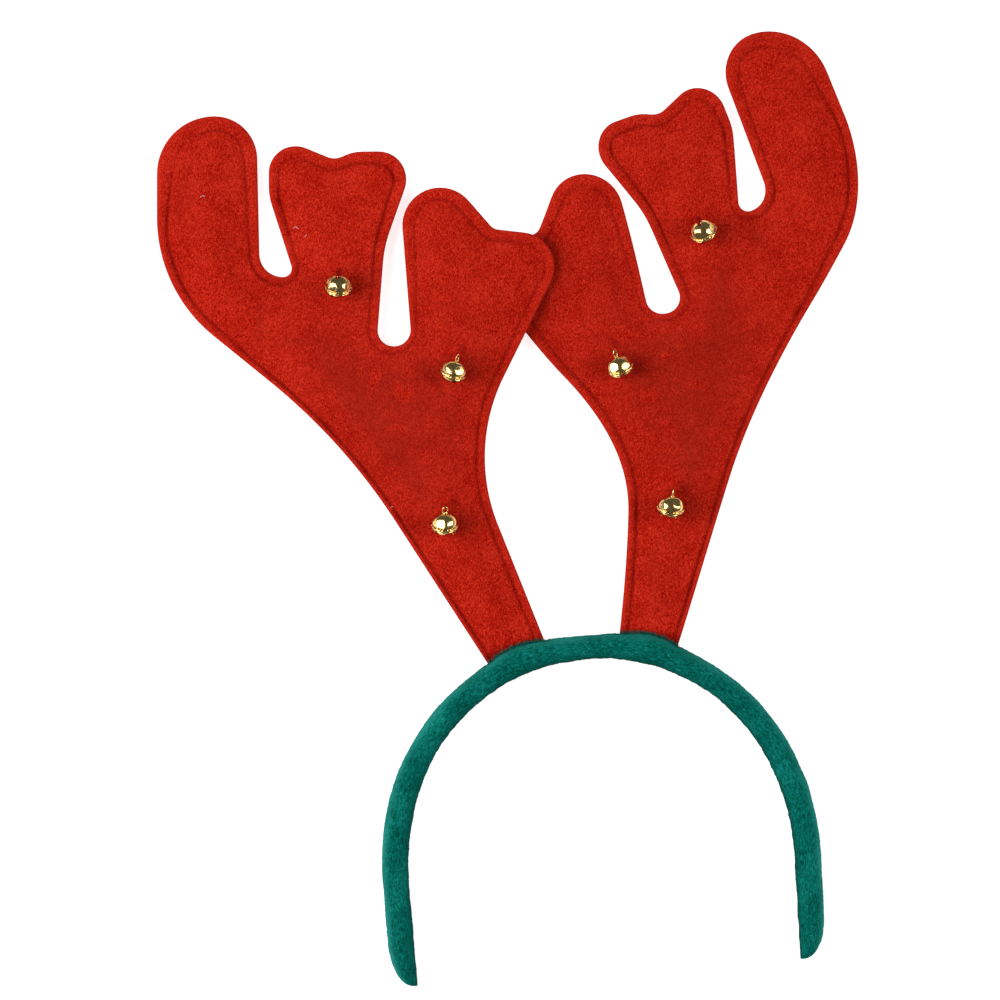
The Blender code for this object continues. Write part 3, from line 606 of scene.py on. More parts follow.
def noise_texture(tree, **inputs):
    return add_node(tree, "ShaderNodeTexNoise", inputs).outputs[0]


def stretched(tree, vector, x, y, z):
    """The vector with each of its parts multiplied by its own factor."""
    factors = add_node(tree, "ShaderNodeCombineXYZ", {"X": x, "Y": y, "Z": z})
    inputs = {0: vector, 1: factors.outputs[0]}
    return add_node(tree, "ShaderNodeVectorMath", inputs, operation="MULTIPLY").outputs[0]


def mixture(tree, first, share, second):
    """The first value times its share, and the second times the rest."""
    rest = maths(tree, "MULTIPLY", second, 1 - share)
    return maths(tree, "ADD", maths(tree, "MULTIPLY", first, share), rest)


def matted_fibres():
    """Fibres pressed and brushed into cloth: fine grain, short streaks, broad patches and their relief."""
    group, given, made = new_group(
        "matted_fibres",
        [("Vector", "NodeSocketVector"), ("Fibre Scale", "NodeSocketFloat"), ("Streak", "NodeSocketFloat")],
        [("Grain", "NodeSocketFloat"), ("Patch", "NodeSocketFloat"), ("Relief", "NodeSocketFloat")],
    )
    scale = given["Fibre Scale"]
    brushed = stretched(group, given["Vector"], 1.0, given["Streak"], 1.0)
    fine = noise_texture(group, Vector=brushed, Scale=scale, Detail=4.0, Roughness=0.65, Distortion=0.6)
    crossing = noise_texture(group, Vector=given["Vector"], Scale=maths(group, "MULTIPLY", scale, 0.45),
                             Detail=3.0, Roughness=0.55, Distortion=1.8)
    broad = noise_texture(group, Vector=given["Vector"], Scale=maths(group, "MULTIPLY", scale, 0.035),
                          Detail=4.0, Roughness=0.6)
    grain = mixture(group, spread(group, fine, 0.3, 0.7), 0.6, spread(group, crossing, 0.3, 0.7))
    patch = spread(group, broad, 0.3, 0.7)
    relief = maths(group, "ADD", grain, maths(group, "MULTIPLY", patch, 0.4))
    for label, value in (("Grain", grain), ("Patch", patch), ("Relief", relief)):
        group.links.new(value, made[label])
    return group


def handled_metal():
    """Metal that has been handled: hairline scratches and smudges over small pits."""
    group, given, made = new_group(
        "handled_metal",
        [("Vector", "NodeSocketVector"), ("Mark Scale", "NodeSocketFloat")],
        [("Smudge", "NodeSocketFloat"), ("Relief", "NodeSocketFloat")],
    )
    scale = given["Mark Scale"]
    smudge = noise_texture(group, Vector=given["Vector"], Scale=scale,
                           Detail=5.0, Roughness=0.6, Distortion=0.8)
    scratch = noise_texture(group, Vector=stretched(group, given["Vector"], 1.0, 12.0, 3.0),
                            Scale=maths(group, "MULTIPLY", scale, 1.6), Detail=2.0)
    hairline = spread(group, scratch, 0.62, 0.74)
    group.links.new(spread(group, smudge, 0.35, 0.72), made["Smudge"])
    group.links.new(maths(group, "SUBTRACT", smudge, hairline), made["Relief"])
    return group


def start_material(name, roughness, **uniform):
    material = bpy.data.materials.new(name)
    material.use_nodes = True
    tree = material.node_tree
    shader = tree.nodes["Principled BSDF"]
    shader.inputs["Roughness"].default_value = roughness
    for label, value in uniform.items():
        shader.inputs[label.replace("_", " ")].default_value = value
    place = tree.nodes.new("ShaderNodeTexCoord").outputs["Object"]
    return material, tree, shader, place


def bump(tree, shader, height, strength, distance):
    made = add_node(tree, "ShaderNodeBump", {"Strength": strength, "Distance": distance, "Height": height})
    tree.links.new(made.outputs[0], shader.inputs["Normal"])


def attribute_of(tree, name):
    return add_node(tree, "ShaderNodeAttribute", attribute_name=name).outputs["Fac"]


def start_cloth(look):
    sheen = {"Sheen_Weight": look["sheen"], "Sheen_Roughness": look["sheen_roughness"]}
    material, tree, shader, place = start_material(look["name"], look["roughness"], **sheen)
    shader.inputs["Specular IOR Level"].default_value = look["specular"]
    shader.inputs["Sheen Tint"].default_value = look["sheen_tint"]
    return material, tree, shader, place


def colour_fibres(tree, shader, fibres, place, look):
    """Fibres from deep through plain to bright, with their relief; returns their colour and their node."""
    inputs = {"Vector": place, "Fibre Scale": look["fibre_scale"], "Streak": look["streak"]}
    cloth = add_node(tree, "ShaderNodeGroup", inputs, node_tree=fibres)
    mottle = mixture(tree, cloth.outputs["Grain"], look["grain"], cloth.outputs["Patch"])
    ramp = add_node(tree, "ShaderNodeValToRGB", {"Fac": mottle})
    for stop, position, colour in zip(ramp.color_ramp.elements, look["span"], (look["deep"], look["bright"])):
        stop.color = colour
        stop.position = position
    ramp.color_ramp.elements.new(0.5).color = look["plain"]
    bump(tree, shader, cloth.outputs["Relief"], look["relief"], FIBRE_RELIEF)
    return ramp.outputs[0], cloth


def marked(tree, attribute, strength):
    """How strongly a mark that is painted on the mesh shows in the colour."""
    return maths(tree, "MULTIPLY", attribute_of(tree, attribute), strength)


def felt_material(fibres):
    look = FELT_LOOK
    material, tree, shader, place = start_cloth(look)
    colour, _ = colour_fibres(tree, shader, fibres, place, look)
    # Painted highlight along the raised rim outside the seam
    lit = blend_colours(tree, marked(tree, "rim", look["rim"]), colour, look["bright"])
    # Painted shade in the palm and in the folds
    creased = blend_colours(tree, marked(tree, "crease", look["crease"]), lit, look["painted_shade_and_sheen"])
    # Painted shade in the seam groove and a painted contact shadow against the band
    sewn = blend_colours(tree, marked(tree, "seam", look["seam"]), creased, look["shadow"])
    tree.links.new(sewn, shader.inputs["Base Color"])
    return material


def plush_material(fibres):
    look = PLUSH_LOOK
    material, tree, shader, _ = start_cloth(look)
    brushed = {"X": attribute_of(tree, "round"), "Y": attribute_of(tree, "run")}
    place = add_node(tree, "ShaderNodeCombineXYZ", brushed).outputs[0]
    colour, cloth = colour_fibres(tree, shader, fibres, place, look)
    # Painted shade on the lower flanks of the band
    shaded = blend_colours(tree, marked(tree, "flank", look["flank"]), colour, look["deep"])
    # Painted sheen on the outer side of the band, broken up by the broad patches
    painted_sheen_share = marked(tree, "painted_sheen", spread(tree, cloth.outputs["Patch"], *look["painted_sheen_spread"]))
    paled = blend_colours(tree, painted_sheen_share, shaded, look["painted_shade_and_sheen"])
    # Painted contact shadow round the antlers' feet and painted shade along the inner seam
    pressed = blend_colours(tree, marked(tree, "pressed", look["pressed"]), paled, look["deep"])
    tree.links.new(pressed, shader.inputs["Base Color"])
    return material


def metal_material(name, marks, look):
    material, tree, shader, place = start_material(name, look["smooth"], Metallic=1.0)
    inputs = {"Vector": place, "Mark Scale": look["scale"]}
    surface = add_node(tree, "ShaderNodeGroup", inputs, node_tree=marks)
    smudge = surface.outputs["Smudge"]
    tree.links.new(blend_colours(tree, smudge, look["colour"], look["stain"]), shader.inputs["Base Color"])
    inputs = {"Value": smudge, "To Min": look["smooth"], "To Max": look["rough"]}
    tree.links.new(add_node(tree, "ShaderNodeMapRange", inputs).outputs[0], shader.inputs["Roughness"])
    bump(tree, shader, surface.outputs["Relief"], 0.12, 0.00005)
    return material


def thread_material(name, look):
    """Twisted thread: strands that wind round it, a little uneven in colour."""
    material, tree, shader, place = start_material(name, 0.85)
    shader.inputs["Specular IOR Level"].default_value = 0.05
    twist = noise_texture(tree, Vector=place, Scale=look["scale"], Detail=3.0, Distortion=1.2)
    strands = spread(tree, twist, 0.35, 0.65)
    tree.links.new(blend_colours(tree, strands, look["dark"], look["light"]), shader.inputs["Base Color"])
    bump(tree, shader, strands, 0.6, 0.00008)
    return material


def floor_material():
    material, tree, shader, place = start_material("pale_floor", 0.9)
    shader.inputs["Specular IOR Level"].default_value = 0.05
    shader.inputs["Emission Color"].default_value = (1.0, 1.0, 1.0, 1.0)
    shader.inputs["Emission Strength"].default_value = 0.82
    grain = noise_texture(tree, Vector=place, Scale=60.0, Detail=3.0)
    colour = blend_colours(tree, grain, (0.50, 0.50, 0.50, 1.0), (0.54, 0.54, 0.54, 1.0))
    tree.links.new(colour, shader.inputs["Base Color"])
    return material


def felt_rows(line, seam):
    """Lines inside the cut edge, close together where the edge rounds off and where the seam is sewn."""
    insets = [np.full(len(line), inset) for inset in EDGE_LINES]
    insets.append((EDGE_LINES[-1] + seam + SEAM_LINES[0]) / 2)
    insets += [seam + step for step in SEAM_LINES]
    inward = inward_normals(line)
    return [line + inward * inset[:, None] for inset in insets], line + inward * seam[:, None]


def cut_felt(line, rows):
    """One flat panel of felt: rows of faces along its edge, then a fine grid inside them."""
    felt = start_piece("felt_blank", bpy.ops.mesh.primitive_circle_add,
                       vertices=len(line), fill_type="NOTHING")
    bm = edit(felt)
    bm.verts.ensure_lookup_table()
    ring = [bm.verts[0]]
    while len(ring) < len(line):
        ahead = [edge.other_vert(ring[-1]) for edge in ring[-1].link_edges]
        ring.append(next(vert for vert in ahead if vert not in ring[-2:]))
    for vert, place in zip(ring, line):
        vert.co = (*place, 0.0)
    closing = bm.edges.get((ring[-1], ring[0]))
    bmesh.ops.delete(bm, geom=[closing], context="EDGES")
    bmesh.update_edit_mesh(felt.data)
    bpy.ops.mesh.select_mode(type="EDGE")
    for row in rows:
        places = {tuple(round(c, 7) for c in vert.co): i for i, vert in enumerate(ring)}
        bpy.ops.mesh.select_all(action="DESELECT")
        for before, after in zip(ring, ring[1:]):
            bm.edges.get((before, after)).select_set(True)
        bpy.ops.mesh.extrude_edges_move()
        bm = bmesh.from_edit_mesh(felt.data)
        fresh = [None] * len(ring)
        for vert in bm.verts:
            if vert.select:
                fresh[places[tuple(round(c, 7) for c in vert.co)]] = vert
        for vert, place in zip(fresh, row):
            vert.co = (*place, 0.0)
        ring = fresh
    inside = bm.faces.layers.int.new("inside")
    middle = bm.faces.new(ring)
    middle[inside] = 1
    bmesh.update_edit_mesh(felt.data)
    bpy.ops.mesh.select_mode(type="FACE")
    corners = np.array([tuple(vert.co) for vert in bm.verts])
    for axis in (0, 1):
        low, high = corners[:, axis].min(), corners[:, axis].max()
        normal = [0.0, 0.0, 0.0]
        normal[axis] = 1.0
        for cut in np.arange(low + FELT_GRID / 2, high, FELT_GRID):
            centre = [0.0, 0.0, 0.0]
            centre[axis] = cut
            bm = bmesh.from_edit_mesh(felt.data)
            inside = bm.faces.layers.int["inside"]
            bpy.ops.mesh.select_all(action="DESELECT")
            for face in bm.faces:
                if face[inside]:
                    face.select_set(True)
            bpy.ops.mesh.bisect(plane_co=centre, plane_no=normal)
    bpy.ops.mesh.select_mode(type="VERT")
    leave_edit()
    return felt


def bell_spots():
    """Where each bell presses on its antler, in the frame: the middle of its solid."""
    spots = []
    for row in BELLS:
        low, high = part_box("bell_" + row["side"] + "_" + row["place"])
        spots.append((row["side"], np.array([(low.x + high.x) / 2, (low.y + high.y) / 2])))
    return spots


def measure_felt(felt, line, seam, pull):
    """What each point of the flat felt needs: its side, and how far it is from edge, seam and foot."""
    flat = coordinates(felt.data)
    pattern = flat[:, :2]
    to_seam, pulled = distance_to_line(pattern, seam, pull)
    tightness = 0.75 + 0.35 * noise_at(np.column_stack([pattern, np.zeros(len(pattern))]), 120.0, 4, 2)
    return {
        "pattern": pattern, "upper": flat[:, 2] > -FELT_THICKNESS / 2, "run": out_of_band(pattern),
        "to_edge": distance_to_line(pattern, line)[0], "to_seam": to_seam,
        "pull": np.clip(pulled * tightness, 0.0, 1.1),
    }


def crease_depth(plan, side):
    """How deep the folds left in the felt are at each point."""
    depth = np.zeros(len(plan))
    for crease in CREASES:
        if crease["side"] == side:
            ends = np.array([on_photo(*crease["start"]), on_photo(*crease["end"])])
            steps = np.linspace(0.0, 1.0, 9)[:, None]
            path = ends[0] + (ends[1] - ends[0]) * steps
            path[:, 0] += CREASE_BOW * np.sin(5.1 * steps[:, 0] + 40 * ends[0, 0])
            fading = np.sin(np.pi * np.clip(steps[:, 0], 0.04, 0.96))
            away, strength = distance_to_line(plan, path, fading)
            depth += crease["depth"] * strength * np.exp(-((away / crease["width"]) ** 2))
    return depth


def shape_panel(felt, facts, name, side, is_front):
    """Lays the flat felt where the antler lies and gives it its puff, seam, round edge and wrinkles."""
    panel = copy_of(felt, name)
    antler = ANTLERS[side]
    pattern, to_edge, to_seam, run = (facts[key] for key in ("pattern", "to_edge", "to_seam", "run"))
    plan = lay_pattern(pattern, antler)
    middle = antler_middle(pattern, antler)
    groove = GROOVE_DEPTH * facts["pull"] * np.exp(-((to_seam / GROOVE_WIDTH) ** 2))
    rounding = EDGE_ROUND * (1 - smooth_step(to_edge / EDGE_ROUND_REACH)) ** 2
    filling = smooth_step((to_edge - SEAM_MARGIN) / PUFF_REACH)
    in_open = smooth_step((run - DROOP_START) / DROOP_START)
    spots = np.column_stack([plan, np.zeros(len(plan))])
    seed = 2 * (side == "right") + is_front
    broad = noise_at(spots, BROAD_WRINKLES, 1 + seed)
    fine = 1 - 2 * np.abs(noise_at(spots, FINE_WRINKLES, 5 + seed, 2))
    palm = np.exp(-(((pattern[:, 0] / ANTLER_WIDTH - PALM_MIDDLE[0]) / PALM_REACH) ** 2))
    palm = palm * np.exp(-(((pattern[:, 1] / ANTLER_HEIGHT - PALM_MIDDLE[1]) / PALM_REACH) ** 2))
    wrinkles = filling * in_open * WRINKLE * (broad + 0.6 * palm * fine)
    pressed = np.zeros(len(plan))
    for spot_side, spot in bell_spots():
        if spot_side == side:
            away = np.hypot(*(plan - spot).T)
            pressed = np.maximum(pressed, np.exp(-((away / BELL_PRESS_REACH) ** 2)))
    creased = crease_depth(plan, side) * smooth_step(to_edge / 0.005)
    wrinkles = wrinkles * (1 - 0.8 * pressed) - BELL_PRESS_DEPTH * pressed * filling
    if is_front:
        low = middle + TOUCH_GAP / 2 + ANTLER_PUFF * filling * in_open + wrinkles * filling
        low = np.maximum(low, middle + TOUCH_GAP / 2)
        high = low + FELT_THICKNESS - groove - rounding - creased
    else:
        high = middle - TOUCH_GAP / 2 - BACK_WRINKLE * np.maximum(-wrinkles, 0.0)
        low = np.maximum(high - FELT_THICKNESS + groove + rounding, 0.0)
    height = np.where(facts["upper"], high, low)
    set_coordinates(panel.data, np.column_stack([plan, height]))
    # Painted shade along the seam groove, and a painted contact shadow where the felt goes into the band
    sewn = np.clip(facts["pull"], 0.0, 1.0) * np.exp(-((to_seam / 0.0006) ** 2))
    band_contact_shade = 0.9 * np.exp(-((np.maximum(run - SEAT_SINK, 0.0) / 0.0013) ** 2))
    set_attribute(panel.data, "seam", np.maximum(sewn, band_contact_shade))
    # Painted highlight on the raised rim outside the seam, fading inwards
    set_attribute(panel.data, "rim", 1 - smooth_step((to_edge - 0.0004) / 0.0016))
    # Painted shade in the palm, and deeper painted shade along the folds
    palm_shade = palm * np.clip(0.45 + 0.9 * fine * filling, 0.0, 1.0)
    set_attribute(panel.data, "crease", np.clip(palm_shade + creased / 0.0006, 0.0, 1.0))
    close_up(panel, 50)
    return panel


def stitch_blank():
    """One stitch: a short thread that dips into the felt at both ends."""
    stitch = start_piece("stitch_blank", bpy.ops.mesh.primitive_cylinder_add, vertices=6,
                         radius=STITCH_THICKNESS / 2, depth=STITCH_LENGTH, rotation=(0.0, math.pi / 2, 0.0))
    bpy.ops.object.transform_apply(location=False, rotation=True, scale=False)
    edit(stitch)
    for share in (-0.36, -0.15, 0.15, 0.36):
        bpy.ops.mesh.select_all(action="SELECT")
        bpy.ops.mesh.bisect(plane_co=(share * STITCH_LENGTH, 0.0, 0.0), plane_no=(1.0, 0.0, 0.0))
    leave_edit()
    points = coordinates(stitch.data)
    share = np.abs(points[:, 0]) / (STITCH_LENGTH / 2)
    slim = 1 - 0.55 * share**3
    points[:, 1] *= slim
    points[:, 2] = points[:, 2] * slim - STITCH_THICKNESS * 0.8 * share**2
    set_coordinates(stitch.data, points)
    return stitch


def repeated(name, blank, places):
    """Many copies of a small blank in one mesh; each place is a position and the blank's three axes there."""
    points = coordinates(blank.data)
    faces = [tuple(face.vertices) for face in blank.data.polygons]
    every_point, every_face = [], []
    for i, (spot, axes) in enumerate(places):
        every_point.append(points @ np.array(axes) + np.array(spot))
        every_face += [tuple(i * len(points) + k for k in face) for face in faces]
    mesh = bpy.data.meshes.new(name)
    mesh.from_pydata(np.vstack(every_point).tolist(), [], every_face)
    piece = bpy.data.objects.new(name, mesh)
    bpy.context.scene.collection.objects.link(piece)
    return piece


def sew_seam(name, side, panel, seam, facing, blank):
    """Stitches along the seam, on the front where facing is 1 and on the back where it is -1."""
    laid = lay_pattern(seam, ANTLERS[side])
    runs = np.concatenate([[0.0], np.cumsum(np.hypot(*(laid[1:] - laid[:-1]).T))])
    out = np.interp(runs, runs, out_of_band(seam))
    places = []
    for at in np.arange(STITCH_PITCH, runs[-1] - STITCH_PITCH, STITCH_PITCH):
        if np.interp(at, runs, out) < FIRST_STITCH:
            continue
        x, y = np.interp(at, runs, laid[:, 0]), np.interp(at, runs, laid[:, 1])
        ahead = np.array([np.interp(at + 0.0005, runs, laid[:, k]) for k in (0, 1)])
        found, spot, _, _ = panel.ray_cast(Vector((x, y, 0.1 * facing)), Vector((0.0, 0.0, -facing)))
        if found:
            height = spot.z + facing * STITCH_THICKNESS * 0.15
            if facing < 0:
                height = max(height, STITCH_THICKNESS * 0.55)
            along = (ahead - (x, y)) / np.hypot(*(ahead - (x, y)))
            axes = [(*along, 0.0), (-along[1], along[0], 0.0), (0.0, 0.0, facing)]
            places.append(((x, y, height), axes))
    stitches = repeated(name, blank, places)
    close_up(stitches, 60)
    return stitches


def band_line():
    """Even stations along the band's inner line, from the left leg's tip to the right one's."""
    turns = np.linspace(0.0, math.pi / 2, 900)
    arch = [arch_point(turn) for turn in turns]
    points = np.array([tuple(point) for point, _ in arch])
    normals = np.array([tuple(normal) for _, normal in arch])
    heights = np.linspace(BAND_LEG_LENGTH, 0.0, 300)[1:]
    lean = BAND_LEG_LEAN * smooth_step(1 - heights / BAND_LEG_LENGTH)
    leg = np.column_stack([BAND_INNER_WIDTH / 2 - lean, heights])
    points = np.vstack([points, leg])
    normals = np.vstack([normals, np.tile([1.0, 0.0], (len(leg), 1))])
    runs = np.concatenate([[0.0], np.cumsum(np.hypot(*(points[1:] - points[:-1]).T))])
    total = runs[-1]
    count = BAND_STATIONS // 2
    tip = int(count * BAND_TIP_SHARE)
    plain = np.linspace(0.0, total - BAND_TIP_LENGTH, count - tip, endpoint=False)
    rounded = total - BAND_TIP_LENGTH * (1 - np.sin(np.linspace(0.0, math.pi / 2, tip + 1)))
    at = np.concatenate([plain, rounded])
    half = np.column_stack([np.interp(at, runs, points[:, k]) for k in (0, 1)])
    out = np.column_stack([np.interp(at, runs, normals[:, k]) for k in (0, 1)])
    out /= np.linalg.norm(out, axis=1)[:, None]
    mirror = np.array([-1.0, 1.0])
    line = np.vstack([(half * mirror)[:0:-1], half])
    normal = np.vstack([(out * mirror)[:0:-1], out])
    run = np.concatenate([-at[:0:-1], at])
    return line, normal, run, total


def foot_frame(antler):
    """The middle of an antler's foot, the ways along it and out of the band, and half its length."""
    centre = np.array(seat_point(antler)) + HOME
    ends = lay_pattern([FOOT_OUTER, FOOT_INNER], {**antler, "sway": 0.0})
    along = (ends[1] - ends[0]) * antler["mirror"]
    half_length = np.linalg.norm(along) / 2
    along /= np.linalg.norm(along)
    return centre, along, np.array([-along[1], along[0]]), half_length


def mouth_depth(points, antler):
    """How deep the cover is tucked in round an antler's foot, how near that mouth is, and the way out."""
    centre, along, out, half_length = foot_frame(antler)
    local = points[:, :2] - centre
    across = np.abs(local @ along) - half_length - TOUCH_GAP
    high = np.abs(points[:, 2] - BAND_DEPTH / 2) - ANTLER_THICKNESS / 2 - TOUCH_GAP
    outside = np.maximum(across, high)
    inside = 1 - smooth_step(outside / MOUTH_EDGE)
    reach = local @ out
    bottom = TUCK_DEPTH + 2 * TOUCH_GAP
    deep = np.where(reach > -bottom, reach + bottom, 0.0)
    near = np.exp(-((np.maximum(outside, 0.0) / 0.0016) ** 2)) * (reach > -0.0035)
    return deep * inside, near, out


def make_band_cover():
    """The padded band in its plush cover, wrinkled on the inside of the bend and tucked in at the antlers."""
    line, normal, run, total = band_line()
    stations = len(line)
    cover = start_piece("band_cover", bpy.ops.mesh.primitive_grid_add, size=1.0,
                        x_subdivisions=stations - 1, y_subdivisions=BAND_SIDES)
    grid = coordinates(cover.data)
    station = np.rint((grid[:, 0] + 0.5) * (stations - 1)).astype(int)
    turn = 2 * math.pi * (grid[:, 1] + 0.5)
    at = np.abs(run[station]) / total
    from_tip = np.clip((total - np.abs(run[station])) / BAND_TIP_LENGTH, 0.0, 1.0)
    thickness = BAND_THICKNESS * read_table(BAND_SECTIONS, "at", at, "thickness")
    thickness *= (1 - (1 - from_tip) ** 2.6) ** (1 / 2.6)
    depth = BAND_DEPTH * (1 - (1 - from_tip) ** 4) ** (1 / 4)
    point, out = line[station], normal[station]
    for antler in ANTLERS.values():
        away = np.hypot(*(point - np.array(arch_point(seat_angle(antler))[0])).T)
        swell = BAND_SEAT_SWELL * np.exp(-((away / BAND_SEAT_SWELL_REACH) ** 2))
        thickness = thickness + swell * (from_tip > 0.5)
    reach = thickness / 2 * (1 + squarish(np.cos(turn), BAND_SQUARENESS))
    height = depth / 2 * (1 + squarish(np.sin(turn), BAND_SQUARENESS)) - BAND_FLATTENING
    height = np.maximum(height, 0.0) + (BAND_DEPTH - depth) / 2
    place = point + out * reach[:, None] + HOME
    set_coordinates(cover.data, np.column_stack([place, height]))
    relief_band(cover, turn, run[station], from_tip)
    close_up(cover, 70)
    return cover


def relief_band(cover, turn, run, from_tip):
    """The plush's nap, its puckers inside the bend, its sewn seam and the mouths for the antlers' feet."""
    mesh = cover.data
    points = coordinates(mesh)
    outward = np.empty(len(points) * 3)
    mesh.vertices.foreach_get("normal", outward)
    outward = outward.reshape(-1, 3)
    inner = smooth_step(-np.cos(turn))
    outer = smooth_step(np.cos(turn))
    bent = smooth_step((0.125 - np.abs(run)) / 0.05)
    pucker = np.sin(run * 2 * math.pi / PUCKER_PITCH + 2.2 * noise_at(points, 55.0, 5, 2))
    folds = PUCKER_DEPTH * pucker * inner * bent
    broad = noise_at(points, 90.0, 6, 3)
    nap = noise_at(points, 900.0, 7, 2)
    seam = np.exp(-((((turn - math.pi) * SECTION_RADIUS) / BAND_SEAM_WIDTH) ** 2))
    lift = folds + UNEVENNESS * broad + NAP_HEIGHT * nap - BAND_SEAM_DEPTH * seam * smooth_step(from_tip * 3)
    lift *= smooth_step(from_tip * 2.5) * 0.8 + 0.2
    if outward[np.argmax(points[:, 2]), 2] < 0:
        outward = -outward
    points = points + outward * lift[:, None]
    pressed = np.zeros(len(points))
    for antler in ANTLERS.values():
        deep, near, out = mouth_depth(points, antler)
        facing = outer > 0.02
        points[:, :2] -= (deep * facing)[:, None] * out
        pressed = np.maximum(pressed, near * facing)
    points[:, 2] = np.maximum(points[:, 2], 0.0)
    set_coordinates(mesh, points)
    # Painted shade along the inner seam and a painted contact shadow round the antlers' feet
    set_attribute(mesh, "pressed", np.clip(np.maximum(0.7 * seam, pressed * 0.8), 0.0, 1.0))
    # Painted sheen on the outer side of the band
    painted_sheen = smooth_step((np.cos(turn) - 0.30) / 0.55)
    set_attribute(mesh, "painted_sheen", 0.6 * painted_sheen)
    # Painted shade on the flanks below the top, kept off the painted sheen
    set_attribute(mesh, "flank", (1 - smooth_step((np.sin(turn) - 0.20) / 0.70)) * (1 - painted_sheen))
    set_attribute(mesh, "run", run)
    set_attribute(mesh, "round", 0.006 * turn)


def plush_fringe(name, cover, antler, seed):
    """Pile of the cover that stands over the felt where an antler's foot goes in."""
    centre, along, out, half_length = foot_frame(antler)
    random = np.random.default_rng(seed)
    paths = []
    for at in np.linspace(-half_length, half_length, FRINGE_STRANDS):
        length, slant = random.uniform(*FRINGE_LENGTH), random.uniform(-FRINGE_SLANT, FRINGE_SLANT)
        high = BAND_DEPTH / 2 + random.uniform(*FRINGE_HEIGHT)
        outside = centre + along * (at + random.uniform(-FRINGE_JITTER, FRINGE_JITTER)) + out * 0.02
        found, root, _, _ = cover.ray_cast(Vector((*outside, high)), Vector((*-out, 0.0)))
        if found:
            path = []
            for share, drop in FRINGE_SHAPE:
                place = np.array(root)[:2] + along * slant * share + out * length * share
                path.append((*place, high - drop))
            paths.append(path)
    return thread(name, paths, PILE_THICKNESS)


def lathe(name, outline, segments):
    """Turns a half outline, whose ends lie on the axis, round Z."""
    turned = start_piece(name, bpy.ops.mesh.primitive_plane_add, size=0.001)
    edit(turned)
    bpy.ops.mesh.merge(type="CENTER")
    bpy.ops.transform.translate(value=(outline[0][0], 0.0, outline[0][1]))
    for before, after in zip(outline, outline[1:]):
        step = (after[0] - before[0], 0.0, after[1] - before[1])
        bpy.ops.mesh.extrude_region_move(TRANSFORM_OT_translate={"value": step})
    bpy.ops.mesh.select_all(action="SELECT")
    bpy.ops.mesh.spin(steps=segments, angle=2 * math.pi, center=(0.0, 0.0, 0.0), axis=(0.0, 0.0, 1.0))
    bpy.ops.mesh.select_all(action="SELECT")
    bpy.ops.mesh.remove_doubles(threshold=1e-6)
    bpy.ops.mesh.normals_make_consistent(inside=False)
    leave_edit()
    return turned


def quarter_round(radius, height, start, steps):
    turns = np.linspace(start, math.pi / 2, steps + 1)
    across = radius * squarish(np.cos(turns), BELL_SQUARENESS)
    across[-1] = 0.0
    return list(zip(across, height * squarish(np.sin(turns), BELL_SQUARENESS)))


def bell_outline():
    """The bell's half outline: its cup, the bead where cup and dome are crimped together, and its dome."""
    radius = BELL_DIAMETER / 2
    half_rim = BELL_RIM_HEIGHT / 2
    skirt = math.asin(1.5 * half_rim / BELL_CUP_DEPTH)
    cup = [(across, -up) for across, up in quarter_round(radius, BELL_CUP_DEPTH, skirt, 12)]
    dome = quarter_round(radius, BELL_DOME_HEIGHT, skirt, 14)
    turns = np.radians([-70, -35, 0, 35, 70])
    bead = [(radius + BELL_RIM * math.cos(turn), half_rim * math.sin(turn)) for turn in turns]
    notch = radius - BELL_NOTCH
    return cup[::-1] + [(notch, -1.1 * half_rim)] + bead + [(notch, 1.1 * half_rim)] + dome


def cut_slots(bell):
    """Two crossed slots through the cup, with a round hole at each end."""
    reach = BELL_DIAMETER / 2 + BELL_RIM
    cutters = []
    for angle in (math.pi / 4, math.pi / 4 + math.pi / 2):
        cutters.append(start_piece(
            "slot", bpy.ops.mesh.primitive_cube_add, size=1.0, rotation=(0.0, 0.0, angle),
            location=(0.0, 0.0, -BELL_SLOT_TOP - reach / 2), scale=(2 * reach, BELL_SLOT_WIDTH, reach),
        ))
        cutters.append(start_piece(
            "hole", bpy.ops.mesh.primitive_cylinder_add, vertices=20, radius=BELL_SLOT_HOLE / 2,
            depth=2.2 * reach, location=(0.0, 0.0, -BELL_SLOT_TOP), rotation=(math.pi / 2, 0.0, angle),
        ))
    select_only(*cutters)
    bpy.ops.object.join()
    bpy.ops.object.transform_apply()
    select_only(bell)
    apply_modifier(bell, "BOOLEAN", operation="DIFFERENCE", solver="EXACT", use_self=True, object=cutters[0])
    bpy.data.objects.remove(cutters[0])


def crimp_bead(bell):
    """Presses small folds into the bead that joins cup and dome."""
    points = coordinates(bell.data)
    across = np.hypot(points[:, 0], points[:, 1])
    around = np.arctan2(points[:, 1], points[:, 0])
    on_bead = smooth_step((across - BELL_DIAMETER / 2 + 0.00005) / 0.0001)
    on_bead = on_bead * (np.abs(points[:, 2]) < BELL_RIM_HEIGHT)
    crimp = 1 + on_bead * (0.012 * np.cos(CRIMP_FOLDS * around) + 0.008 * np.sin(CRIMP_WAVES * around))
    points[:, :2] *= crimp[:, None]
    points[:, 2] += on_bead * 0.00008 * np.sin(CRIMP_FOLDS * around)
    set_coordinates(bell.data, points)


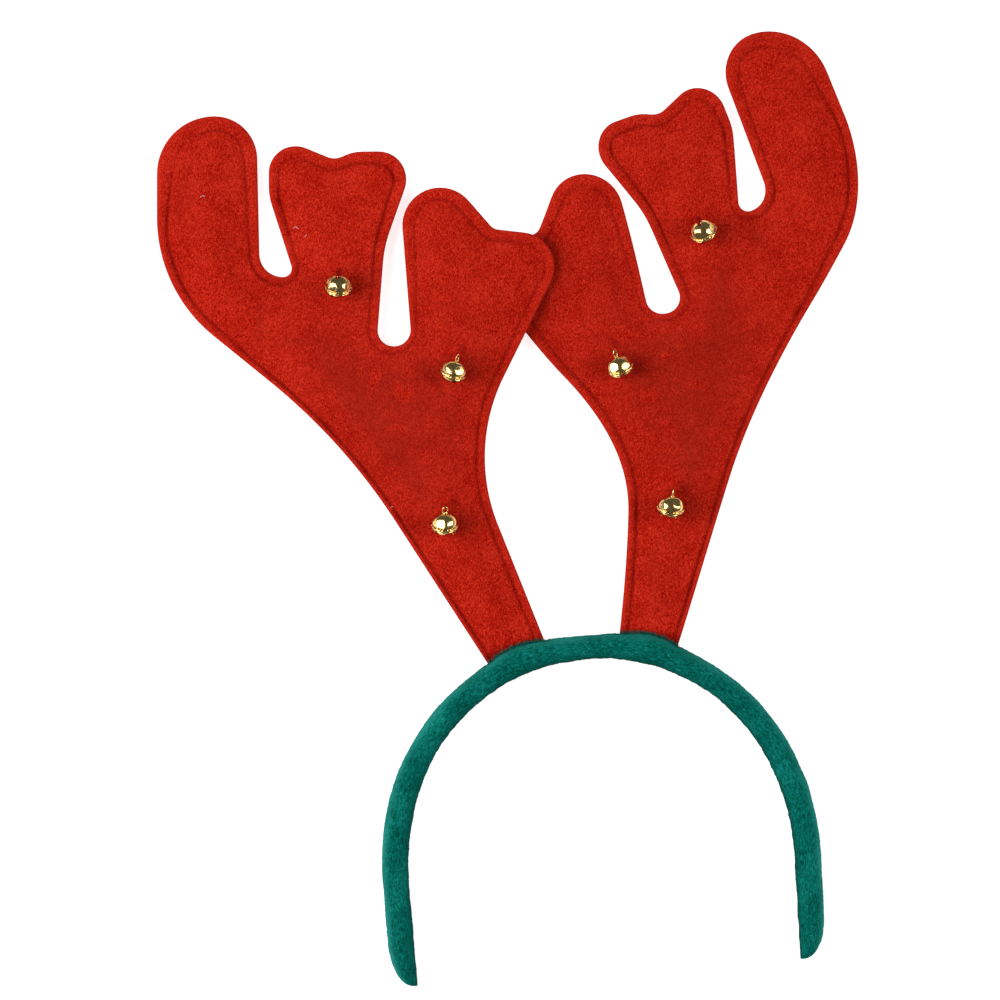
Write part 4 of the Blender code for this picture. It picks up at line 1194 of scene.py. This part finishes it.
def bell_blank():
    """The bell as it leaves the press: thin shell, crimped bead, crossed slots and wire eye."""
    bell = lathe("bell_blank", bell_outline(), BELL_SEGMENTS)
    apply_modifier(bell, "SOLIDIFY", thickness=BELL_WALL, offset=-1.0)
    crimp_bead(bell)
    cut_slots(bell)
    centre = BELL_DOME_HEIGHT - BELL_WALL / 2 + EYE_HEIGHT / 2
    eye = start_piece("eye", bpy.ops.mesh.primitive_torus_add, major_segments=32, minor_segments=10,
                      major_radius=EYE_WIDTH / 2, minor_radius=EYE_WIRE, rotation=(math.pi / 2, 0.0, 0.0),
                      location=(0.0, 0.0, centre))
    bpy.ops.object.transform_apply()
    edit(eye)
    bpy.ops.mesh.select_all(action="SELECT")
    bpy.ops.transform.resize(value=(1.0, 1.0, EYE_HEIGHT / EYE_WIDTH), center_override=(0.0, 0.0, centre))
    leave_edit()
    collar = start_piece("collar", bpy.ops.mesh.primitive_torus_add, major_segments=24, minor_segments=8,
                         major_radius=COLLAR_RADIUS, minor_radius=COLLAR_WIRE,
                         location=(0.0, 0.0, BELL_DOME_HEIGHT - 0.00002))
    bpy.ops.object.transform_apply()
    select_only(bell, eye, collar)
    bpy.ops.object.join()
    return bell


def hang_bell(blank, row, seed):
    """A copy of the bell, knocked about a little, where its solid is; also its eye's place and its turn."""
    name = row["side"] + "_" + row["place"]
    bell = copy_of(blank, "jingle_bell_" + name)
    points = coordinates(bell.data)
    dents = noise_at(points, DENT_SCALE, seed, 3)
    near_ball = np.linalg.norm(points, axis=1) < BELL_DOME_HEIGHT * 1.12
    points = points * (1 - DENT_DEPTH * (dents * near_ball)[:, None])
    lean = Euler((math.radians(row["rise"] - 90), 0.0, -math.radians(row["heading"])), "XYZ")
    turn = np.array(lean.to_matrix() @ Matrix.Rotation(math.radians(row["spin"]), 3, "Z"))
    points = points @ turn.T
    reach = np.linalg.norm(points, axis=1)
    radius = BELL_DIAMETER / 2
    for facing, depth in row["flats"]:
        facing = np.array(facing) / np.linalg.norm(facing)
        toward = np.clip(points @ facing / reach, 0.05, 1.0)
        push = np.clip(radius - (radius - depth) / toward, 0.0, depth)
        points = points * (1 - push / reach)[:, None]
    low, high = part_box("bell_" + name)
    middle = (np.array(low) + np.array(high)) / 2
    shift = middle - (points.min(0) + points.max(0)) / 2
    set_coordinates(bell.data, points + shift)
    select_only(bell)
    bpy.ops.object.shade_smooth_by_angle(angle=math.radians(38))
    eye = turn @ np.array([0.0, 0.0, BELL_DOME_HEIGHT + EYE_HEIGHT / 2]) + shift
    return bell, eye, turn


def thread(name, paths, thickness):
    """Thread along smooth curves through the given points, made a mesh."""
    curve = bpy.data.curves.new(name, "CURVE")
    curve.dimensions = "3D"
    curve.bevel_depth = thickness / 2
    curve.bevel_resolution = 2
    curve.resolution_u = 6
    curve.use_fill_caps = True
    for path in paths:
        spline = curve.splines.new("BEZIER")
        spline.bezier_points.add(len(path) - 1)
        for knot, place in zip(spline.bezier_points, path):
            knot.co = place
            knot.handle_left_type = knot.handle_right_type = "AUTO"
    piece = bpy.data.objects.new(name, curve)
    bpy.context.scene.collection.objects.link(piece)
    select_only(piece)
    bpy.ops.object.convert(target="MESH")
    piece = bpy.context.object
    bpy.ops.object.shade_smooth()
    return piece


def felt_height(panel, x, y):
    found, spot, _, _ = panel.ray_cast(Vector((x, y, 0.1)), Vector((0.0, 0.0, -1.0)))
    return spot.z if found else ANTLER_THICKNESS


def level_unit(vector):
    """The way that a vector points, seen from above."""
    level = np.array([vector[0], vector[1], 0.0])
    return level / np.linalg.norm(level)


def wrap_eye(eye, turn):
    """Two strands of thread wound round the wire of the bell's eye."""
    beside, through, up_bell = turn.T
    reach = EYE_WIRE + WRAP_GAP
    paths = []
    for shift in (0.0, math.pi):
        path = []
        for at in np.linspace(0.0, 2 * math.pi, 8 * WRAP_WINDINGS + 1):
            wind = WRAP_WINDINGS * at + shift
            ring = beside * math.sin(at) * (EYE_WIDTH / 2 + reach * math.cos(wind))
            ring = ring + up_bell * math.cos(at) * (EYE_HEIGHT / 2 + reach * math.cos(wind))
            path.append(tuple(eye + ring + through * reach * math.sin(wind)))
        paths.append(path)
    return paths


def sew_bell(name, panel, eye, turn, wrapped):
    """Two turns of thread through the bell's eye, down into the felt, and more round the eye if wrapped."""
    _, through, up_bell = turn.T
    level, away = level_unit(through), level_unit(up_bell)
    paths = []
    for strand in (-1, 1):
        top = eye + up_bell * SEWING_RISE + level * 0.00008 * strand
        path = []
        for reach, share in SEWING_LOOP:
            spot = eye + level * reach * SEWING_HALF_WIDTH + away * (SEWING_OFFSET + STRAND_GAP * strand)
            under = felt_height(panel, spot[0], spot[1]) - SEWING_SINK
            height = under + (top[2] - under) * share
            pull = away * STRAND_GAP * strand * (1 - share)
            path.append((spot[0] + pull[0], spot[1] + pull[1], height))
        paths.append(path)
    if wrapped:
        paths += wrap_eye(eye, turn)
    return thread(name, paths, SEWING_THREAD)


def tuft(name, panel, centre, ends):
    """A knot's loose thread ends, curled on the felt."""
    paths = []
    for k in range(ends):
        start = 2 * math.pi * k / ends + ends
        path = []
        for step in range(CURL_STEPS):
            turn = start + CURL_TURN * step * (1 if k % 2 else -1)
            reach = CURL_START + CURL_REACH * step
            x = centre[0] + reach * math.cos(turn)
            y = centre[1] + reach * math.sin(turn)
            lift = 0.0001 + 0.0005 * math.sin(math.pi * step / 5.5)
            path.append((x, y, felt_height(panel, x, y) + lift))
        paths.append(path)
    return thread(name, paths, LOOSE_THREAD)


def lint_fibre(panel, row):
    centre = on_photo(*row["middle"])
    turn, length = row["turn"], row["length"]
    path = []
    for step in np.linspace(-0.5, 0.5, 5):
        x = centre[0] + length * step * math.cos(turn) + length * 0.15 * math.sin(5 * step) * math.sin(turn)
        y = centre[1] + length * step * math.sin(turn) + length * 0.15 * math.cos(5 * step) * math.cos(turn)
        path.append((x, y, felt_height(panel, x, y) + 0.0001))
    return path


def soft_box(name, place, size, power):
    data = bpy.data.lights.new(name, "AREA")
    data.shape = "RECTANGLE"
    data.size, data.size_y = size
    data.energy = power
    lamp = bpy.data.objects.new(name, data)
    bpy.context.scene.collection.objects.link(lamp)
    lamp.location = place
    lamp.rotation_euler = (-Vector(place)).to_track_quat("-Z", "Y").to_euler()


def set_camera():
    """The camera straight above the middle of the photo, rolled as the photo holds the band."""
    camera_data = bpy.data.cameras.new("photo_camera")
    camera_data.sensor_width = 36.0
    camera_data.lens = CAMERA_LENS
    camera = bpy.data.objects.new("photo_camera", camera_data)
    bpy.context.scene.collection.objects.link(camera)
    camera.location = (*on_photo(*PHOTO_MIDDLE), CAMERA_HEIGHT)
    camera.rotation_euler = (0.0, 0.0, -PHOTO_TURN)
    bpy.context.scene.camera = camera


def set_studio():
    """A pale floor, a softbox on each side, a faint fill and the camera."""
    floor = start_piece("floor", bpy.ops.mesh.primitive_plane_add, size=FLOOR_SIZE)
    set_coordinates(floor.data, coordinates(floor.data) - np.array([0.0, 0.0, FLOOR_GAP]))
    floor.data.materials.append(floor_material())
    for row in SOFTBOXES:
        soft_box(**row)
    world = bpy.data.worlds.new("studio_air")
    bpy.context.scene.world = world
    world.use_nodes = True
    world.node_tree.nodes["Background"].inputs["Color"].default_value = FILL_COLOUR
    world.node_tree.nodes["Background"].inputs["Strength"].default_value = FILL_STRENGTH
    set_camera()
    bpy.context.scene.view_settings.view_transform = "Standard"


def make_antlers(felt_cloth, red_thread):
    """Four panels cut from one pattern, with their stitches; returns the front ones."""
    line, seam_inset, pull = pattern_outline()
    rows, seam = felt_rows(line, seam_inset)
    felt = cut_felt(line, rows)
    apply_modifier(felt, "SOLIDIFY", thickness=FELT_THICKNESS, offset=-1.0)
    flat = coordinates(felt.data)
    if flat[:, 2].max() > FELT_THICKNESS / 2:
        flat[:, 2] -= FELT_THICKNESS
        set_coordinates(felt.data, flat)
    facts = measure_felt(felt, line, seam, pull)
    stitch = stitch_blank()
    fronts = {}
    for side in ANTLERS:
        for is_front, which, facing in ((True, "front", 1), (False, "back", -1)):
            panel = shape_panel(felt, facts, "felt_" + side + "_" + which, side, is_front)
            dress(panel, felt_cloth)
            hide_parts("antler_" + side + "_" + which)
            stitches = sew_seam("stitches_" + side + "_" + which, side, panel, seam, facing, stitch)
            dress(stitches, red_thread)
            if is_front:
                fronts[side] = panel
    bpy.data.objects.remove(felt)
    bpy.data.objects.remove(stitch)
    return fronts


def make_band(plush_cloth):
    """The plush cover and the pile that stands over the antlers' feet."""
    cover = make_band_cover()
    dress(cover, plush_cloth)
    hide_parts("band")
    for side, antler in ANTLERS.items():
        fringe = plush_fringe("plush_fringe_" + side, cover, antler, 3 + len(side))
        dress(fringe, plush_cloth)


def make_bells(fronts, gold, steel, red_thread):
    """Six bells, each sewn on with its own thread; their pellets stay the solids."""
    blank = bell_blank()
    for seed, row in enumerate(BELLS):
        name = row["side"] + "_" + row["place"]
        bell, eye, turn = hang_bell(blank, row, 11 + seed)
        dress(bell, gold)
        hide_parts("bell_" + name)
        sewing = sew_bell("sewing_thread_" + name, fronts[row["side"]], eye, turn, row["wrapped"])
        dress(sewing, red_thread)
        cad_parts["pellet_" + name].material_slots[0].material = steel
    bpy.data.objects.remove(blank)


def scatter_ends(fronts, red_thread, lint_white):
    """The knots' loose thread ends, and the lint on the left antler."""
    for row in LOOSE_ENDS:
        knot = on_photo(*row["knot"])
        ends = tuft("thread_ends_" + row["name"], fronts[row["side"]], knot, row["ends"])
        dress(ends, red_thread)
    lint = [lint_fibre(fronts["left"], row) for row in LINT]
    dress(thread("white_lint", lint, LINT_THICKNESS), lint_white)


def main():
    fibres, marks = matted_fibres(), handled_metal()
    felt_cloth, plush_cloth = felt_material(fibres), plush_material(fibres)
    gold = metal_material("polished_gold", marks, GOLD_LOOK)
    steel = metal_material("pellet_steel", marks, STEEL_LOOK)
    red_thread = thread_material("red_thread", RED_THREAD_LOOK)
    lint_white = thread_material("white_lint", LINT_LOOK)
    fronts = make_antlers(felt_cloth, red_thread)
    make_band(plush_cloth)
    make_bells(fronts, gold, steel, red_thread)
    scatter_ends(fronts, red_thread, lint_white)
    set_studio()


main()
